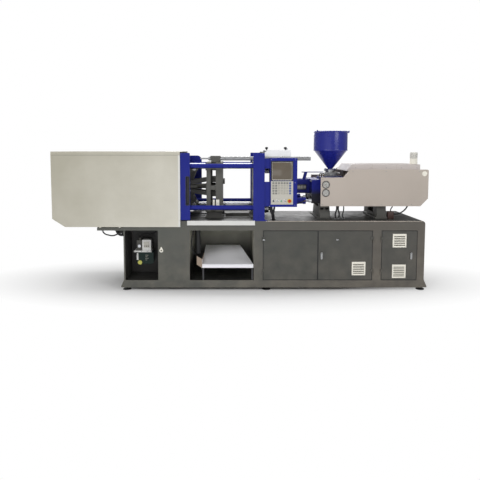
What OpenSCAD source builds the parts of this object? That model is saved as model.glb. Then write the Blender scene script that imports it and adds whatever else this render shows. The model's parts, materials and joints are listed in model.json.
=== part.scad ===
// Horizontal injection moulding machine with a five-point double toggle clamp.
// +X runs along the machine towards the injection unit, -Y is the operator's side and +Z is up.
// The origin is on the floor under the middle of the machine.

/* [Base] */
// Left end of the base
base_x0 = -1585; // [-1650:5:-1500]
// Right end of the base
base_x1 = 2450; // [2400:5:2500]
// Depth of the base from front to back
base_w = 1100; // [1050:10:1140]
// Height of the bed above the floor
base_top = 938; // [930:1:950]
// Underside of the base above the floor
base_foot = 35; // [30:1:60]
// Sheet thickness of the base
base_wall = 8; // [5:1:12]
// Radius of the bed's right edge
base_round = 40; // [20:5:60]
// Left end of the shelf under the clamp cover
shelf_x0 = -1936; // [-2000:5:-1850]
// Thickness of the shelf
shelf_t = 40; // [30:1:60]
// Top of the shelf
shelf_top = 850; // [830:1:856]
// Lowest edge of the front openings
opening_low = 135; // [120:1:160]
// Highest edge of the front openings
opening_high = 808; // [780:1:815]
// Wall thickness of the liners behind the openings
liner_t = 6; // [4:1:10]
// Depth of the lubricator recess
recess_depth = 470; // [350:5:600]
// Depth of the pump compartment
pump_bay_depth = 760; // [600:5:900]
// Depth of the electrical compartment
electric_bay_depth = 420; // [300:5:600]

/* [Feet] */
// Diameter of the levelling pads
pad_d = 110; // [80:5:140]
// Thickness of the levelling pads
pad_t = 16; // [10:1:20]
// Diameter of the levelling screws
foot_screw_d = 24; // [16:1:30]

/* [Clamp] */
// Height of the clamp axis above the floor
axis_z = 1370; // [1365:1:1375]
// Tie bar diameter
tie_d = 65; // [55:1:70]
// Tie bar distance from the axis, in Y and in Z
tie_off = 289; // [280:1:295]
// Running clearance of sliding bores, on the diameter
run_gap = 0.2; // [0.1:0.02:0.2]
// Mould face of the fixed platen
fixed_face_x = 165; // [150:1:175]
// Thickness of the fixed platen
fixed_t = 145; // [130:1:148]
// Open daylight between the platens
daylight = 428; // [400:1:440]
// Half width and half height of the platens
platen_half = 348; // [340:1:360]
// Thickness of the moving platen's mould plate
moving_t = 92; // [80:1:100]
// Thickness of the moving platen's back flange
flange_t = 57; // [45:1:60]
// Overall length of the moving platen
moving_len = 218; // [210:1:230]
// Thickness of the rear platen
rear_t = 150; // [120:1:180]
// Bore for the nozzle and the locating ring
locate_d = 125; // [100:5:160]
// Spacing of the mould bolt holes
bolt_pitch = 140; // [120:5:150]
// Diameter of the mould bolt holes
bolt_d = 16; // [12:1:20]

/* [Toggle] */
// Height of the rear link pivots from the axis
rear_pivot_off = 250; // [248:1:252]
// Height of the front link pivots from the axis
front_pivot_off = 100; // [98:1:104]
// Distance between the two pivots at rest
pivot_span = 200; // [196:1:204]
// Closing travel of the platen to the straight toggle
close_travel = 260; // [255:1:262]
// Height of the knee from the axis at rest
knee_off = 58; // [56:1:60]
// Knee position behind the rear pivot at rest
knee_back = 75.4; // [74:0.1:77]
// Toggle pin diameter
toggle_pin_d = 44; // [36:1:48]
// Thickness of one link plate
link_t = 40; // [30:1:40]
// Crosshead pivot height from the axis
cross_off = 40; // [38:1:42]
// Length of the short links
short_len = 125; // [123:1:128]

/* [Doors and covers] */
// How far the clamp cover stands out beyond the base
cover_out = 25; // [25:1:30]
// Sheet thickness of the covers
cover_t = 4; // [2:0.5:5]
// Left end of the clamp cover
cover_x0 = -2523; // [-2530:1:-2500]
// Right end of the clamp cover
cover_x1 = -820; // [-840:1:-815]
// Top of the clamp cover
cover_top = 1864; // [1855:1:1880]
// Height of the roof's skirt
roof_skirt = 48; // [30:1:60]
// Chamfer of the cover's lower corner, along X
chamfer_x = 170; // [120:5:220]
// Chamfer of the cover's lower corner, along Z
chamfer_z = 109; // [80:1:140]
// Width of the sliding doors
door_w = 1000; // [980:5:1010]
// Thickness of the sliding doors
door_t = 32; // [28:1:32]
// Right end of the open front door
front_door_x1 = -690; // [-700:1:-680]
// Right end of the open rear door
rear_door_x1 = -600; // [-620:1:-590]
// Top of the front door
door_top = 1846; // [1830:1:1850]
// Top of the rear door
rear_door_top = 1800; // [1790:1:1830]
// Bottom of the sliding doors
door_low = 953; // [950:1:965]
// Diameter of the door beams
beam_d = 58; // [50:1:62]
// Height of the upper door beam
beam_high_z = 1673; // [1665:1:1680]
// Height of the lower door beam
beam_low_z = 1114; // [1110:1:1125]
// Left face of the door's stop channel
stop_x = 152; // [145:1:158]
// Left face of the guard post
post_x0 = 206; // [200:1:212]
// Width of the guard post
post_w = 96; // [80:1:100]
// Top of the guard post
post_top = 1844; // [1830:1:1855]

/* [Control panel] */
// Left side of the panel box
panel_x0 = 377; // [370:1:385]
// Width of the panel box
panel_w = 357; // [340:1:370]
// Bottom of the panel box
panel_z0 = 1127; // [1120:1:1135]
// Height of the panel box
panel_h = 651; // [640:1:660]
// Clearance between the panel box and the safety bar
panel_gap = 18; // [10:1:40]

/* [Injection unit] */
// Height of the guide rods
guide_z = 1175; // [1172:1:1178]
// Distance of the guide rods from the middle
guide_y = 200; // [198:1:204]
// Guide rod diameter
guide_d = 50; // [44:1:50]
// Left face of the front support
front_support_x = 1085; // [1085:1:1090]
// Length of the front support
front_support_l = 141; // [130:1:141]
// Left face of the rear support
rear_support_x = 1864; // [1864:1:1880]
// Length of the rear support
rear_support_l = 127; // [110:1:140]
// Barrel diameter
barrel_d = 110; // [90:1:120]
// Screw diameter
screw_d = 45; // [35:1:50]
// Left end of the barrel
barrel_x0 = 430; // [420:1:440]
// Tip of the nozzle
nozzle_x = 300; // [295:1:310]
// Injection cylinder bore
inject_bore = 100; // [90:1:100]
// Injection cylinder distance from the middle
inject_y = 175; // [172:1:178]
// Carriage cylinder distance from the middle
carriage_y = 275; // [274:1:277]
// Carriage cylinder height
carriage_z = 1186; // [1184:1:1188]
// Front face of the side covers from the middle
side_y = 430; // [425:1:435]
// Left end of the side covers
side_x0 = 1070; // [1065:1:1075]
// Right end of the side covers
side_x1 = 2523; // [2500:1:2530]
// Diameter of the pressure gauges
gauge_d = 96; // [80:1:98]

/* [Hopper] */
// Hopper position along X
hopper_x = 1277; // [1270:1:1284]
// Outer radius of the hopper
hopper_r = 237; // [220:1:245]
// Sheet thickness of the hopper
hopper_wall = 4; // [2:0.5:5]
// Height of the hopper's lower flange
hopper_z0 = 1609; // [1605:1:1615]
// Height of the joint between cone and drum
hopper_z1 = 1883; // [1860:1:1900]
// Height of the rim
hopper_z2 = 2146; // [2120:1:2170]
// Diameter of the feed throat
throat_d = 50; // [40:1:54]

/* [Hidden] */

$fn = 48;

// Clearance at which a piece is seated on its neighbour without touching it
seat = 0.3;
// Overcut of a hole beyond the faces that it goes through
over = 1;
// How far a bar's sides lie inside its round ends, so that they cross cleanly
bar_inset = 0.1;

// Colours
frame_grey = [0.30, 0.31, 0.29];
dark_grey = [0.20, 0.20, 0.20];
guard_blue = [0.11, 0.14, 0.45];
cover_beige = [0.74, 0.72, 0.66];
side_beige = [0.71, 0.67, 0.62];
pale_grey = [0.80, 0.80, 0.80];
steel = [0.62, 0.63, 0.65];
bright_steel = [0.80, 0.81, 0.83];
casting_grey = [0.38, 0.38, 0.37];
black = [0.06, 0.06, 0.07];
stop_red = [0.75, 0.10, 0.08];

base_half = base_w / 2;
cover_y = base_half + cover_out;
liner_high = opening_high + 3;

// Compartments behind the front openings: left, right
recess_x = [-1566, -1124];
chute_x = [-700, 160];
drop_x = [-230, 120];
drop_y = [-180, 180];
pump_bay_x = [282, 1754];
electric_bay_x = [1870, 2352];
bay_split_x = 1020;
door_gap = 3;
leaf_t = 20;
stop_rim = 18;
// Louvres of the rear panels, and passages in the bed
louvre_xs = [-1100, 500, 1900];
louvre_w = 320;
louvre_z = 560;
passage_xs = [430, 1180, 2030];
passage_y = -420;
passage_d = 90;
shelf_foot_z = 745;
shelf_web = 180;

foot_xs = [base_x0 + 30, 332, base_x1 - 30];
foot_y = base_half - 50;
bracket_top = 150;
bracket_out = 42;

// Clamp positions along X
moving_face_x = fixed_face_x - daylight;
moving_back_x = moving_face_x - moving_len;
front_pivot_x = moving_back_x + 16;
rear_pivot_x = front_pivot_x - pivot_span;
rear_face_x = rear_pivot_x - 255;
rear_back_x = rear_face_x - rear_t;
platen_low = axis_z - platen_half;
rail_t = 12;
rail_x = [-1080, 120];
rail_y = [200, 270];
tie_x0 = rear_back_x - 120;
tie_nut_d = 120;
tie_nut_l = 60;
tie_x1 = fixed_face_x + fixed_t + tie_nut_l + 40;
window_y = 212;
window_z = 230;

// Toggle geometry in the XZ plane, for the upper half and relative to the rear pivot
rear_link_layer = [60, 60 + link_t];
front_link_layer = [110, 110 + link_t];
short_link_layer = [15, 50];
knee_r = 34;
eye_r = 42;
lug_r = 28;
short_r = 24;
// The third pivot of a rear link lies this far along it and to its inner side
third_along = 130;
third_in = 60;
knee_angle = atan2(rear_pivot_off - knee_off, -knee_back);
third_x = third_along * cos(knee_angle) - third_in * sin(knee_angle);
third_z = -third_along * sin(knee_angle) - third_in * cos(knee_angle);
third_off = rear_pivot_off + third_z;
cross_x = rear_pivot_x + third_x - sqrt(pow(short_len, 2) - pow(third_off - cross_off, 2));
// The crosshead's travel, from the third pivot's place with the toggle straight
closed_angle = atan2(rear_pivot_off - front_pivot_off, pivot_span + close_travel);
closed_third_x = third_along * cos(closed_angle) - third_in * sin(closed_angle);
closed_third_off = rear_pivot_off - third_along * sin(closed_angle) - third_in * cos(closed_angle);
closed_cross_x = rear_pivot_x + closed_third_x - sqrt(pow(short_len,
  2) - pow(closed_third_off - cross_off, 2));
cross_travel = closed_cross_x - cross_x;
cross_guide_y = 190;
cross_guide_d = 40;
cross_half_z = 36;
clamp_rod_d = 70;
clamp_bore = 150;
clamp_tube_x = [rear_back_x - 490, rear_back_x - 30];
clamp_piston_l = 60;
clamp_piston_x = rear_back_x - 38 - clamp_piston_l - cross_travel;

// Ejector
eject_mount_t = 19;
eject_cyl_d = 70;
eject_cyl_x0 = moving_back_x - 159;
eject_plate_x = moving_back_x + 3;
eject_plate_t = 18;
eject_pin_d = 25;
eject_pin_y = 45;
eject_rod_d = 28;
eject_bore = eject_cyl_d - 20;

// Safety bar and its catch
bar_d = 56;
bar_y = -tie_off;
bar_z = axis_z + platen_half + 50;
bar_x = [moving_back_x + 47, 947];
notch_pitch = 60;
notch_depth = 10;
guard_hinge = [fixed_face_x + fixed_t + 14, axis_z + platen_half + 17];
catch_x = fixed_face_x + 100;
catch_z = bar_z + 78;

// Doors
door_y0 = cover_y - 13;
sill_x = [-730, 174];
sill_t = 3;
door_in = door_y0 - door_t;
beam_in = 50;
beam_y = base_half - beam_in;
beam_x0 = -1720;
left_post_x = [-1575, -1515];
strip_w = 120;
window_low = 1160;
pane_t = 6;

// Side profile of the injection covers
side_top = 1620;
side_low = 1123;
side_step = 1513;
side_round = 18;
hood_y = 330;
hood_top = 1688;
hood_x = [1442, 2443];
gauge_x = side_x0 + 68;
gauge_zs = [1416, 1305];

// Injection unit positions along X
plate_x = [969, 1110];
plate_low = axis_z - 130;
housing_half = carriage_y + 28;
block_x1 = 1440;
slab_z = [1215, 1255];
slab_x = [1240, 1640];
bush_xs = [[1275, 1365], [1540, 1630]];
block_top = 1507;
block_low = 1255;
thrust_x = 1990;
thrust_t = 70;
inject_x1 = 1900;
motor_l = 230;
gate_z = 1549;
gate_t = 5;

// Blocks and cylinders placed by their limits

module block(x, y, z) {
  translate([x[0], y[0], z[0]]) cube([x[1] - x[0], y[1] - y[0], z[1] - z[0]]);
}

module xrod(x0, x1, d, y = 0, z = 0) {
  translate([x0, y, z]) rotate([0, 90, 0]) cylinder(h = x1 - x0, d = d);
}

module yrod(y0, y1, d, x, z) {
  translate([x, y1, z]) rotate([90, 0, 0]) cylinder(h = y1 - y0, d = d);
}

module zrod(z0, z1, d, x, y) {
  translate([x, y, z0]) cylinder(h = z1 - z0, d = d);
}

// Extrudes a profile drawn in X and Z between two Y planes
module side_plate(y0, y1) {
  translate([0, y1, 0]) rotate([90, 0, 0]) linear_extrude(y1 - y0) children();
}

// Extrudes a profile drawn in Y and Z along X
module cross_plate(x0, x1) {
  translate([x0, 0, 0]) rotate([90, 0, 90]) linear_extrude(x1 - x0) children();
}

module both_sides() {
  children();
  mirror([0, 1, 0]) children();
}

module upper_and_lower() {
  children();
  translate([0, 0, axis_z]) mirror([0, 0, 1]) translate([0, 0, -axis_z]) children();
}

module at_corners() {
  for (sy = [-1, 1], sz = [-1, 1]) translate([0, sy * tie_off, axis_z + sz * tie_off]) children();
}

module round_rect(x, z, r) {
  translate([x[0] + r, z[0]]) square([x[1] - x[0] - 2 * r, z[1] - z[0]]);
  translate([x[0], z[0] + r]) square([x[1] - x[0], z[1] - z[0] - 2 * r]);
  for (cx = [x[0] + r, x[1] - r], cz = [z[0] + r, z[1] - r]) translate([cx, cz]) circle(r);
}

// A bar with two round ends between two points
module link_bar(a, b, r) {
  d = b - a;
  translate(a) circle(r);
  translate(b) circle(r);
  translate(a) rotate(atan2(d[1], d[0])) translate([0, bar_inset - r])
    square([norm(d), 2 * (r - bar_inset)]);
}

// A round tube swept along a list of points
function unit(v) = v / norm(v);
function sweep_dir(p, i) = i == 0 ? unit(p[1] - p[0])
  : i == len(p) - 1 ? unit(p[i] - p[i - 1])
  : unit(unit(p[i] - p[i - 1]) + unit(p[i + 1] - p[i]));
function sweep_side(d) = unit(cross(d, abs(d[1]) > 0.9 ? [1, 0, 0] : [0, 1, 0]));
// Points on a smooth curve through the given ones, with k steps in each span
function curve_at(a, b, c, d, t) = 0.5 * (2 * b + (c - a) * t + (2 * a - 5 * b + 4 * c - d) * t * t
  + (3 * b - a - 3 * c + d) * t * t * t);
function smooth(p, k) = [
  for (i = [0:len(p) - 2], j = [0:k - 1])
  curve_at(p[max(i - 1, 0)], p[i], p[i + 1], p[min(i + 2, len(p) - 1)], j / k),
  p[len(p) - 1]
  ];

module tube(points, d, sides = 8) {
  n = len(points);
  rings = [
    for (i = [0:n - 1]) let (
    dir = sweep_dir(points, i),
    u = sweep_side(dir),
    v = cross(dir, u)
    ) for (j = [0:sides - 1]) points[i] + d / 2 * (u * cos(360 * j / sides) + v * sin(360 * j / sides))
    ];
  walls = [
    for (i = [0:n - 2], j = [0:sides - 1]) let (k = (j + 1) % sides)
    [i * sides + j, (i + 1) * sides + j, (i + 1) * sides + k, i * sides + k]
    ];
  first = [[for (j = [0:sides - 1]) j]];
  last = [[for (j = [sides - 1:-1:0]) (n - 1) * sides + j]];
  polyhedron(points = rings, faces = concat(walls, first, last), convexity = 6);
}

// Base

module base_profile(inset) {
  round_corner([base_x0 + inset, base_x1 - inset], [base_foot + inset, base_top - inset],
    base_round - inset);
}

// A rectangle with its upper right corner rounded
module round_corner(x, z, r) {
  translate([x[0], z[0]]) square([x[1] - x[0], z[1] - z[0] - r]);
  translate([x[0], z[1] - r - over]) square([x[1] - x[0] - r, r + over]);
  translate([x[1] - r, z[1] - r]) circle(r);
}

module foot_bracket(x, dir) {
  for (sy = [-1, 1]) translate([x, sy * foot_y, 0]) {
    side_plate(-45, -39) polygon([[0, 36], [dir * bracket_out, 36], [dir * bracket_out, 52],
      [0, bracket_top]]);
    side_plate(39, 45) polygon([[0, 36], [dir * bracket_out, 36], [dir * bracket_out, 52],
      [0, bracket_top]]);
  }
}

module hinge_pins(x, zs) {
  for (z = zs) {
    zrod(z - 40, z - 0.5, 12, x, -base_half - 7);
    zrod(z - 1, z + 30, 6, x, -base_half - 7);
    block([x - 5, x + 5], [-base_half - 6, -base_half + 1], [z - 40, z - 1]);
  }
}

hinge_zs = [250, 690];
hinge_left_x = [pump_bay_x[0] - 7, electric_bay_x[0] - 7];
hinge_right_x = pump_bay_x[1] + 7;

module base_frame() {
  color(frame_grey) {
    base_shell();
    bay_liner(recess_x, recess_depth, 0);
    chute_liner();
    bay_liner(pump_bay_x, pump_bay_depth, stop_rim);
    // Post between the two leaves of the pump compartment
    block([bay_split_x - 16, bay_split_x + 16],
      [-base_half + leaf_t + 2, -base_half + leaf_t + 5], [opening_low, liner_high]);
    bay_liner(electric_bay_x, electric_bay_depth, stop_rim);
    clamp_shelf();
  }
}

// Folded and welded outer sheets with the bed on top
module base_shell() {
  difference() {
    side_plate(-base_half, base_half) base_profile(0);
    side_plate(-base_half + base_wall, base_half - base_wall) base_profile(base_wall);
    for (x = [recess_x, chute_x, pump_bay_x, electric_bay_x])
      block(x, [-base_half - over, -base_half + base_wall + over], [opening_low, liner_high]);
    block(drop_x, drop_y, [base_top - base_wall - over, base_top + over]);
    // Louvres of the rear panels
    for (x = louvre_xs, i = [0:7])
      block([x, x + louvre_w], [base_half - base_wall - over, base_half + over],
      [louvre_z + 24 * i, louvre_z + 24 * i + 8]);
    // Cable and hose passages in the bed
    for (x = passage_xs) zrod(base_top - base_wall - over, base_top + over, passage_d, x, passage_y);
  }
  // Slideways for the moving platen's shoes
  both_sides() block(rail_x, rail_y, [base_top - 1, base_top + rail_t]);
  // Outrigger brackets over the levelling feet
  foot_bracket(base_x0, -1);
  foot_bracket(base_x1, 1);
  hinge_pins(hinge_left_x[0], hinge_zs);
  hinge_pins(hinge_left_x[1], hinge_zs);
  hinge_pins(hinge_right_x, hinge_zs);
}

// The liner of a compartment sits behind the front; with a rim it keeps a flange behind the leaf
module bay_liner(x, depth, rim) {
  z = [opening_low, liner_high];
  y = [-base_half + base_wall + seat, -base_half + depth - liner_t];
  difference() {
    block([x[0] - liner_t, x[1] + liner_t], [y[0], y[1] + liner_t], [z[0] - liner_t, z[1] + liner_t]);
    if (rim == 0) block(x, [y[0] - over, y[1]], z);
    else {
      block(x, [y[0] - over, -base_half + leaf_t + 2], z);
      block([x[0] + rim, x[1] - rim], y, [z[0] + rim, z[1] - rim]);
      block(x, [-base_half + leaf_t + 5, y[1]], z);
    }
  }
}

// The chute's liner carries the shaft through which pieces drop from the bed
module chute_liner() {
  difference() {
    union() {
      bay_liner(chute_x, base_w - 10, 0);
      block([drop_x[0] - liner_t, drop_x[1] + liner_t], [drop_y[0] - liner_t, drop_y[1] + liner_t],
        [liner_high + 1, base_top - base_wall - seat]);
    }
    block(drop_x, drop_y, [liner_high - over, base_top]);
  }
}

// Shelf under the clamp cover, bolted to the base's left end by its brackets
module clamp_shelf() {
  x1 = base_x0 - seat;
  low = shelf_top - shelf_t;
  block([shelf_x0, x1], [-base_half, base_half], [low, shelf_top]);
  for (sy = [-1, 0, 1]) translate([0, sy * (base_half - 100), 0]) side_plate(-5, 5)
    polygon([[x1, low + 1], [x1, shelf_foot_z], [x1 - 30, shelf_foot_z], [x1 - shelf_web, low + 1]]);
}

module level_feet() {
  color(dark_grey) for (x = foot_xs, sy = [-1, 1]) translate([x, sy * foot_y, 0]) {
    rotate_extrude() polygon([[0, 0], [pad_d / 2, 0], [pad_d / 2, pad_t - 5], [pad_d / 2 - 12, pad_t],
      [foot_screw_d / 2, pad_t], [foot_screw_d / 2, base_foot - seat], [0, base_foot - seat]]);
  }
}

// Pump unit behind the left and middle cabinet doors

module pump_unit() {
  floor_z = opening_low + seat;
  cz = opening_low + 230;
  cy = -120;
  color(guard_blue) {
    // Motor with a cast foot, bell housing, pump and suction elbow
    xrod(460, 860, 300, cy, cz);
    for (i = [0:11]) rotate_fin(i, 470, 800, cy, cz);
    xrod(440, 461, 240, cy, cz);
    xrod(859, 960, 200, cy, cz);
    xrod(959, 1130, 150, cy, cz);
    block([1000, 1080], [cy - 60, cy + 60], [cz, cz + 110]);
    block([500, 820], [cy - 110, cy + 110], [floor_z, cz - 100]);
    block([560, 720], [cy - 60, cy + 60], [cz + 130, cz + 190]);
    zrod(cz + 100, cz + 200, 60, 1040, cy);
  }
}

module rotate_fin(i, x0, x1, y, z) {
  translate([x0, y, z]) rotate([30 * i + 15, 0, 0]) translate([0, -4, 140]) cube([x1 - x0, 8, 24]);
}

module electric_rack() {
  x = electric_bay_x;
  back = -base_half + electric_bay_depth - liner_t - seat;
  color(steel) {
    block([x[0] + 30, x[1] - 30], [back - 3, back], [opening_low + 40, liner_high - 40]);
    // Contactors and breakers on two rails
    for (z = [640, 480]) {
      block([x[0] + 50, x[1] - 50], [back - 12, back - 2], [z - 18, z + 18]);
      for (i = [0:6]) block([x[0] + 62 + 52 * i, x[0] + 104 + 52 * i], [back - 90, back - 11],
        [z - 42, z + 42]);
    }
    // Pump drive and wiring ducts
    block([x[0] + 60, x[0] + 260], [back - 190, back - 2], [180, 410]);
    block([x[0] + 300, x[1] - 60], [back - 130, back - 2], [200, 400]);
    for (z = [560, 740]) block([x[0] + 40, x[1] - 40], [back - 60, back - 2], [z - 15, z + 15]);
  }
}

// Chute for the moulded pieces, seen through the left opening of the base

module product_chute() {
  front = -base_half + 12;
  rear = 280;
  slope = atan2(112, rear - front);
  lip = 44;
  color(pale_grey) {
    translate([0, front, 345]) rotate([slope, 0, 0]) linear_extrude(4)
      polygon([[-535, 0], [156, 0], [-12, rear - front], [-525, rear - front]]);
    block([-535, 156], [front, front + 4], [345 - lip, 349]);
    // Legs and side rails
    for (x = [-530, 130]) block([x, x + 20], [front + 4, front + 24], [opening_low + seat, 347]);
    for (x = [-522, -40]) block([x, x + 20], [rear - 50, rear - 30], [opening_low + seat, 454]);
    block([-535, -531], [front, front + 420], [320, 420]);
  }
}

// Lubricator in the left recess

lube_y = -300;

module lubricator() {
  color(pale_grey) {
    block([-1453, -1371], [lube_y - 20, lube_y + 60], [496, 637]);
    block([-1371 - over, -1253], [lube_y - 45, lube_y + 70], [496, 645]);
    difference() {
      block([-1486, -1243], [lube_y - 60, lube_y + 90], [477, 497]);
      zrod(470, 500, 20, -1462, lube_y - 30);
    }
    // Outlet block, filler cap and bracket to the back of the recess
    yrod(lube_y - 34, lube_y - 19, 44, -1412, 560);
    zrod(636, 668, 36, -1412, lube_y + 20);
    block([-1400, -1290], [lube_y + 60, -base_half + recess_depth - liner_t - seat], [520, 620]);
  }
}

module lubricator_tank() {
  cx = -1334;
  top = 477 - seat;
  color([0.10, 0.22, 0.20]) difference() {
    union() {
      block([cx - 118, cx + 118], [lube_y - 48, lube_y + 78], [345, top]);
      side_plate(lube_y - 48, lube_y + 78) round_rect([cx - 118, cx + 118], [312, 400], 33);
    }
    block([cx - 112, cx + 112], [lube_y - 42, lube_y + 72], [350, top + over]);
  }
}

// Platens and tie bars

module platen_outline(half, r) {
  translate([0, axis_z]) round_rect([-half, half], [-half, half], r);
}

module bolt_grid(x0, x1) {
  for (i = [-1.5:1:1.5], j = [-1.5:1:1.5]) if (abs(i) + abs(j) > 1.5)
    xrod(x0, x1, bolt_d, i * bolt_pitch, axis_z + j * bolt_pitch);
}

module fixed_platen() {
  x = [fixed_face_x, fixed_face_x + fixed_t];
  color(casting_grey) {
    difference() {
      cross_plate(x[0], x[1]) platen_outline(platen_half, 30);
      at_corners() xrod(x[0] - over, x[1] + over, tie_d + 0.3);
      xrod(x[0] - over, x[0] + 25, locate_d, 0, axis_z);
      translate([x[0] + 24, 0, axis_z]) rotate([0, 90, 0])
        cylinder(h = fixed_t, d1 = 70, d2 = 250, $fn = 64);
      bolt_grid(x[0] - over, x[0] + 32);
    }
    // Feet on the bed and the catch housing's seat
    both_sides() {
      block([x[0] + 10, x[1] - 5], [190, 330], [base_top, platen_low + 1]);
      block([x[0] - 40, x[1]], [170, 345], [base_top, base_top + 28]);
    }
    difference() {
      block([x[0] + 10, x[1] - 10], [bar_y - 50, bar_y + 50],
        [axis_z + platen_half - 1, bar_z + 46]);
      xrod(x[0], x[1], bar_d + 4, bar_y, bar_z);
      block([catch_x - 38, catch_x + 18], [bar_y - 14, bar_y + 14], [bar_z, bar_z + 50]);
    }
    // Ears for the catch's pin
    for (y = [bar_y - 26, bar_y + 16]) side_plate(y, y + 10)
      link_bar([catch_x, bar_z + 40], [catch_x, catch_z], 16);
    yrod(bar_y - 26, bar_y + 26, 13.9, catch_x, catch_z);
    // Lugs and pins for the purge guard
    both_sides() {
      side_plate(182, 197) link_bar([guard_hinge[0] - 24, guard_hinge[1] - 17], guard_hinge, 11);
      yrod(182, 211.7, 12, guard_hinge[0], guard_hinge[1]);
    }
  }
}

module rear_platen() {
  x = [rear_back_x, rear_face_x];
  color(casting_grey) {
    difference() {
      cross_plate(x[0], x[1]) platen_outline(platen_half, 30);
      at_corners() xrod(x[0] - over, x[1] + over, tie_d + run_gap);
      xrod(x[0] - over, x[1] + over, clamp_rod_d + 20, 0, axis_z);
      both_sides() xrod(x[1] - 60, x[1] + over, cross_guide_d - 2, cross_guide_y, axis_z);
      // Weight pockets in the back
      for (y = [-1, 1]) block([x[0] - over, x[0] + 60], [y * 245 - 70, y * 245 + 70],
        [axis_z - 130, axis_z + 130]);
    }
    both_sides() upper_and_lower() for (y = [20, 104]) side_plate(y, y + 38) difference() {
      union() {
        translate([rear_pivot_x, axis_z + rear_pivot_off]) circle(eye_r);
        polygon([[rear_face_x - 1, axis_z + rear_pivot_off - 80],
          [rear_pivot_x, axis_z + rear_pivot_off - eye_r],
          [rear_pivot_x, axis_z + rear_pivot_off + eye_r],
          [rear_face_x - 1, axis_z + rear_pivot_off + 60]]);
      }
    }
    // Pivot pins, and the rods that guide the crosshead
    both_sides() upper_and_lower() yrod(20, 142, toggle_pin_d, rear_pivot_x, axis_z + rear_pivot_off);
    both_sides() xrod(x[1] - 61, rear_pivot_x + 45, cross_guide_d, cross_guide_y, axis_z);
    both_sides() block([x[0] + 5, x[1] - 5], [190, 330], [base_top + rail_t + seat, platen_low + 1]);
  }
}

module tie_bars() {
  color(bright_steel) at_corners() xrod(tie_x0, tie_x1, tie_d);
}

module tie_bar_nuts() {
  color(dark_grey) at_corners() {
    for (x = [fixed_face_x + fixed_t + seat, rear_back_x - seat - tie_nut_l]) difference() {
      union() {
        xrod(x, x + tie_nut_l, tie_nut_d);
        xrod(x + 20, x + 32, tie_nut_d + 14);
      }
      xrod(x - over, x + tie_nut_l + over, tie_d + 0.3);
    }
  }
}

module clamp_cylinder() {
  x = clamp_tube_x;
  color(frame_grey) translate([0, 0, axis_z]) difference() {
    union() {
      xrod(rear_back_x - 38, rear_back_x - seat, 300);
      xrod(x[0], rear_back_x - 30, 190);
      xrod(x[0] - 40, x[0] + 1, 240);
      block([x[0] + 60, x[0] + 300], [-60, 60], [80, 165]);
      xrod(x[0] - 70, x[0] - 39, 90);
    }
    xrod(x[0] + 5, x[1], clamp_bore);
    xrod(x[1] - over, rear_back_x + over, clamp_rod_d + run_gap);
  }
}

// Toggle: a crosshead drives two rear links through short links

module rear_link() {
  knee = [rear_pivot_x - knee_back, axis_z + knee_off];
  pivot = [rear_pivot_x, axis_z + rear_pivot_off];
  third = [rear_pivot_x + third_x, axis_z + third_off];
  both_sides() side_plate(rear_link_layer[0], rear_link_layer[1]) difference() {
    union() {
      link_bar(knee, pivot, knee_r);
      translate(pivot) circle(eye_r - 2);
      link_bar(third, pivot, lug_r);
      link_bar(third, knee, lug_r - 6);
    }
    translate(pivot) circle(d = toggle_pin_d + run_gap);
  }
  // Cross tube at the knee and pin heads of the knee and the third pivot
  yrod(-rear_link_layer[1], rear_link_layer[1], toggle_pin_d, knee[0], knee[1]);
  both_sides() yrod(rear_link_layer[0] - 6, rear_link_layer[1] + 4, 30, third[0], third[1]);
}

module front_link() {
  knee = [rear_pivot_x - knee_back, axis_z + knee_off];
  pivot = [front_pivot_x, axis_z + front_pivot_off];
  both_sides() side_plate(front_link_layer[0], front_link_layer[1]) difference() {
    union() {
      link_bar(knee, pivot, 27);
      translate(knee) circle(knee_r);
      translate(pivot) circle(30);
    }
    translate(pivot) circle(d = toggle_pin_d - 8 + run_gap);
  }
  both_sides() yrod(front_link_layer[1] - 1, front_link_layer[1] + 8, toggle_pin_d, knee[0], knee[1]);
}

module short_link() {
  third = [rear_pivot_x + third_x, axis_z + third_off];
  pivot = [cross_x, axis_z + cross_off];
  both_sides() side_plate(short_link_layer[0], short_link_layer[1]) difference() {
    union() {
      link_bar(third, pivot, 18);
      translate(third) circle(short_r);
      translate(pivot) circle(short_r);
    }
    translate(pivot) circle(d = 30 + run_gap);
    translate(third) circle(d = 26);
  }
}

module rear_link_upper() { color(steel) rear_link(); }
module rear_link_lower() { color(steel) flip() rear_link(); }
module front_link_upper() { color(dark_grey) front_link(); }
module front_link_lower() { color(dark_grey) flip() front_link(); }
module short_link_upper() { color(steel) short_link(); }
module short_link_lower() { color(steel) flip() short_link(); }

module flip() {
  translate([0, 0, axis_z]) mirror([0, 0, 1]) translate([0, 0, -axis_z]) children();
}

module crosshead() {
  color(steel) {
    difference() {
      union() {
        block([cross_x - 70, cross_x - 26], [-225, 225], [axis_z - cross_half_z, axis_z + cross_half_z]);
        both_sides() xrod(cross_x - 72, cross_x - 4, 66, cross_guide_y, axis_z);
      }
      both_sides() xrod(cross_x - 80, cross_x, cross_guide_d + run_gap, cross_guide_y, axis_z);
    }
    // Fork plates and pins for the short links
    for (y = [-57, -6, 51]) side_plate(y, y + (y == -6 ? 12 : 6)) union() {
      translate([cross_x - 40, axis_z - cross_off]) square([16, 2 * cross_off]);
      for (s = [-1, 1]) link_bar([cross_x - 34, axis_z + s * cross_off],
        [cross_x, axis_z + s * cross_off], 22);
    }
    for (s = [-1, 1]) yrod(-56, 56, 30, cross_x, axis_z + s * cross_off);
    // Piston rod and piston
    xrod(clamp_piston_x, cross_x - 69, clamp_rod_d, 0, axis_z);
    xrod(clamp_piston_x, clamp_piston_x + clamp_piston_l, clamp_bore - run_gap, 0, axis_z);
  }
}

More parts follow.
